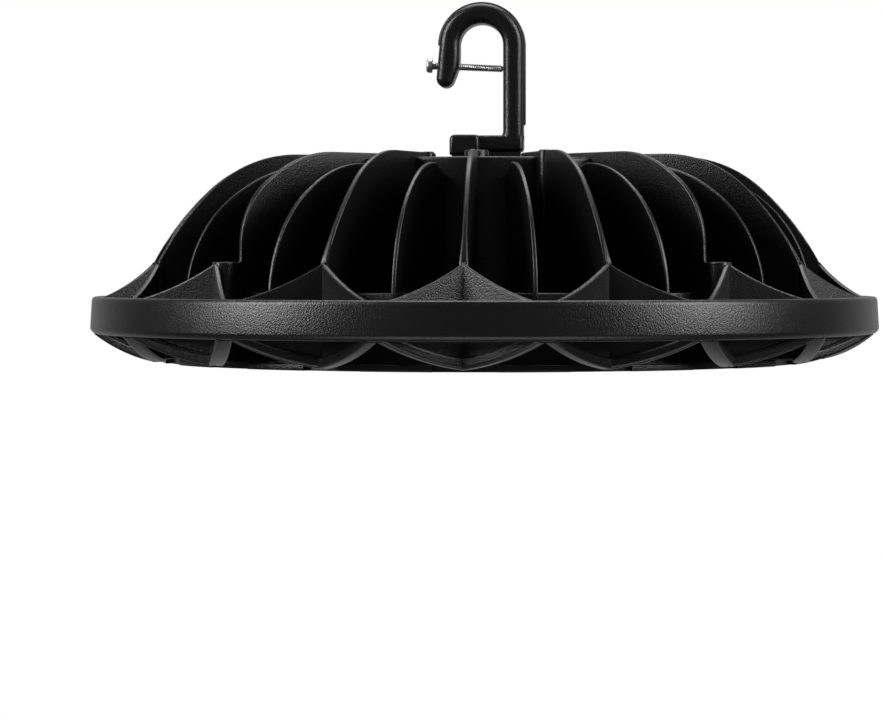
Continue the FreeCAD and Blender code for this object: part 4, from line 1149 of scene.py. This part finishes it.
@dataclass
class Studio:
    """A white room with four soft boxes and the camera.

    Two tall boxes stand at the sides, one hangs above the back and one lies low in front.

    Args:
        azimuth: where the camera stands, in degrees from -Y.
        distance_mm: from the lamp's axis.
        eye_mm: height of the camera.
        lens_mm: focal length for a 36 mm wide picture.
        shift: sideways and upward shift of the lens.
        floor_level: height of the floor in metres, out of the picture.
        floor_reach: half the floor's width in metres.
    """

    azimuth: float = 3.2
    distance_mm: float = 1130.0
    eye_mm: float = 36.8
    lens_mm: float = 118.9
    shift: tuple = (-0.0488, -0.1059)
    floor_level: float = -2.5
    floor_reach: float = 9.0

    def soft_box(self, name: str, angle: float, distance: float, height: float, size: tuple,
                 power: float, aim: float = 0.04) -> None:
        """A rectangular light that faces the lamp.

        Args:
            name: the light's name.
            angle: degrees from the camera's side, anticlockwise from above.
            distance: metres from the lamp's axis.
            height: metres above the underside.
            size: width and height in metres.
            power: watts.
            aim: height that it looks at.
        """
        turn = math.radians(angle - 90 + self.azimuth)
        at = np.array([math.cos(turn) * distance, math.sin(turn) * distance, height])
        light = bpy.data.lights.new(name, "AREA")
        light.shape = "RECTANGLE"
        light.size, light.size_y = size
        light.energy = power
        lamp = bpy.data.objects.new(name, light)
        bpy.context.scene.collection.objects.link(lamp)
        lamp.location = at.tolist()
        toward = np.array([0, 0, aim]) - at
        flat = math.hypot(toward[0], toward[1])
        lamp.rotation_euler = (math.pi / 2 + math.atan2(toward[2], flat), 0,
                               math.atan2(toward[1], toward[0]) - math.pi / 2)

    def room(self) -> None:
        """A world that the camera sees as white, over a white floor.

        What the world lights is dimmer: it runs from 0.09 at the sides to 0.55 straight behind
        the lamp, which gives the fins' crests their fine bright edge.
        """
        world = bpy.data.worlds.new("white_room")
        world.use_nodes = True
        tree = world.node_tree
        tree.nodes.clear()
        seen = add_node(tree, "ShaderNodeLightPath").outputs["Is Camera Ray"]
        way = add_node(tree, "ShaderNodeTexCoord").outputs["Generated"]
        back_wall = add_node(tree, "ShaderNodeSeparateXYZ", inputs={"Vector": way}).outputs["Y"]
        lit = add_node(tree, "ShaderNodeMapRange", inputs={
            "Value": back_wall, "From Min": 0.45, "From Max": 1.0, "To Min": 0.09, "To Max": 0.55})
        bright = add_node(tree, "ShaderNodeMath", {"operation": "MAXIMUM"},
                          {0: seen, 1: lit.outputs["Result"]})
        back = add_node(tree, "ShaderNodeBackground", inputs={
            "Color": (1, 1, 1, 1), "Strength": bright.outputs["Value"]})
        add_node(tree, "ShaderNodeOutputWorld", inputs={"Surface": back.outputs["Background"]})
        bpy.context.scene.world = world
        mesh = bpy.data.meshes.new("floor")
        far, level = self.floor_reach, self.floor_level
        mesh.from_pydata([(-far, -far, level), (far, -far, level), (far, far, level),
                          (-far, far, level)], [], [(0, 1, 2, 3)])
        paint = Finish("white_studio_paper", "#f7f7f7", "#f4f4f4", 0.9, 0.05, grain_mm=2.0,
                       relief_mm=0.01, tone_mm=300.0, glow=0.8)
        mesh.materials.append(paint.material())
        floor = bpy.data.objects.new("floor", mesh)
        floor.visible_glossy = floor.visible_diffuse = False
        bpy.context.scene.collection.objects.link(floor)

    def camera(self) -> None:
        """The long lens that looks level at the lamp, with its shift for the framing."""
        data = bpy.data.cameras.new("camera")
        data.sensor_width = 36.0
        data.lens = self.lens_mm
        data.shift_x, data.shift_y = self.shift
        data.clip_start, data.clip_end = 0.05, 50.0
        camera = bpy.data.objects.new("camera", data)
        bpy.context.scene.collection.objects.link(camera)
        turn = math.radians(self.azimuth)
        camera.location = (self.distance_mm * MM * math.sin(turn),
                           -self.distance_mm * MM * math.cos(turn), self.eye_mm * MM)
        camera.rotation_euler = (math.pi / 2, 0, turn)
        bpy.context.scene.camera = camera

    def build(self) -> None:
        """Set up the room, its lights and the camera, and turn tone mapping off."""
        self.room()
        self.soft_box("left_soft_box", -66, 1.3, 0.62, (0.55, 1.05), 20)
        self.soft_box("right_soft_box", 62, 1.3, 0.62, (0.6, 1.05), 18)
        self.soft_box("top_soft_box", 180, 0.5, 1.4, (1.2, 1.0), 14)
        self.soft_box("low_soft_box", 0, 0.7, -0.9, (1.6, 0.8), 6)
        self.camera()
        view = bpy.context.scene.view_settings
        view.view_transform = "Standard"
        view.look = "None"


def main() -> None:
    """Load the frame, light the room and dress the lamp."""
    logging.basicConfig(level=logging.INFO, format="%(name)s: %(message)s")
    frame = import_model()
    Studio().build()
    HeatSink().build()
    Hook().build()
    KeeperScrew().build()
    Lens().build()
    dress_solids(frame["nodes"])


if __name__ == "__main__":
    main()
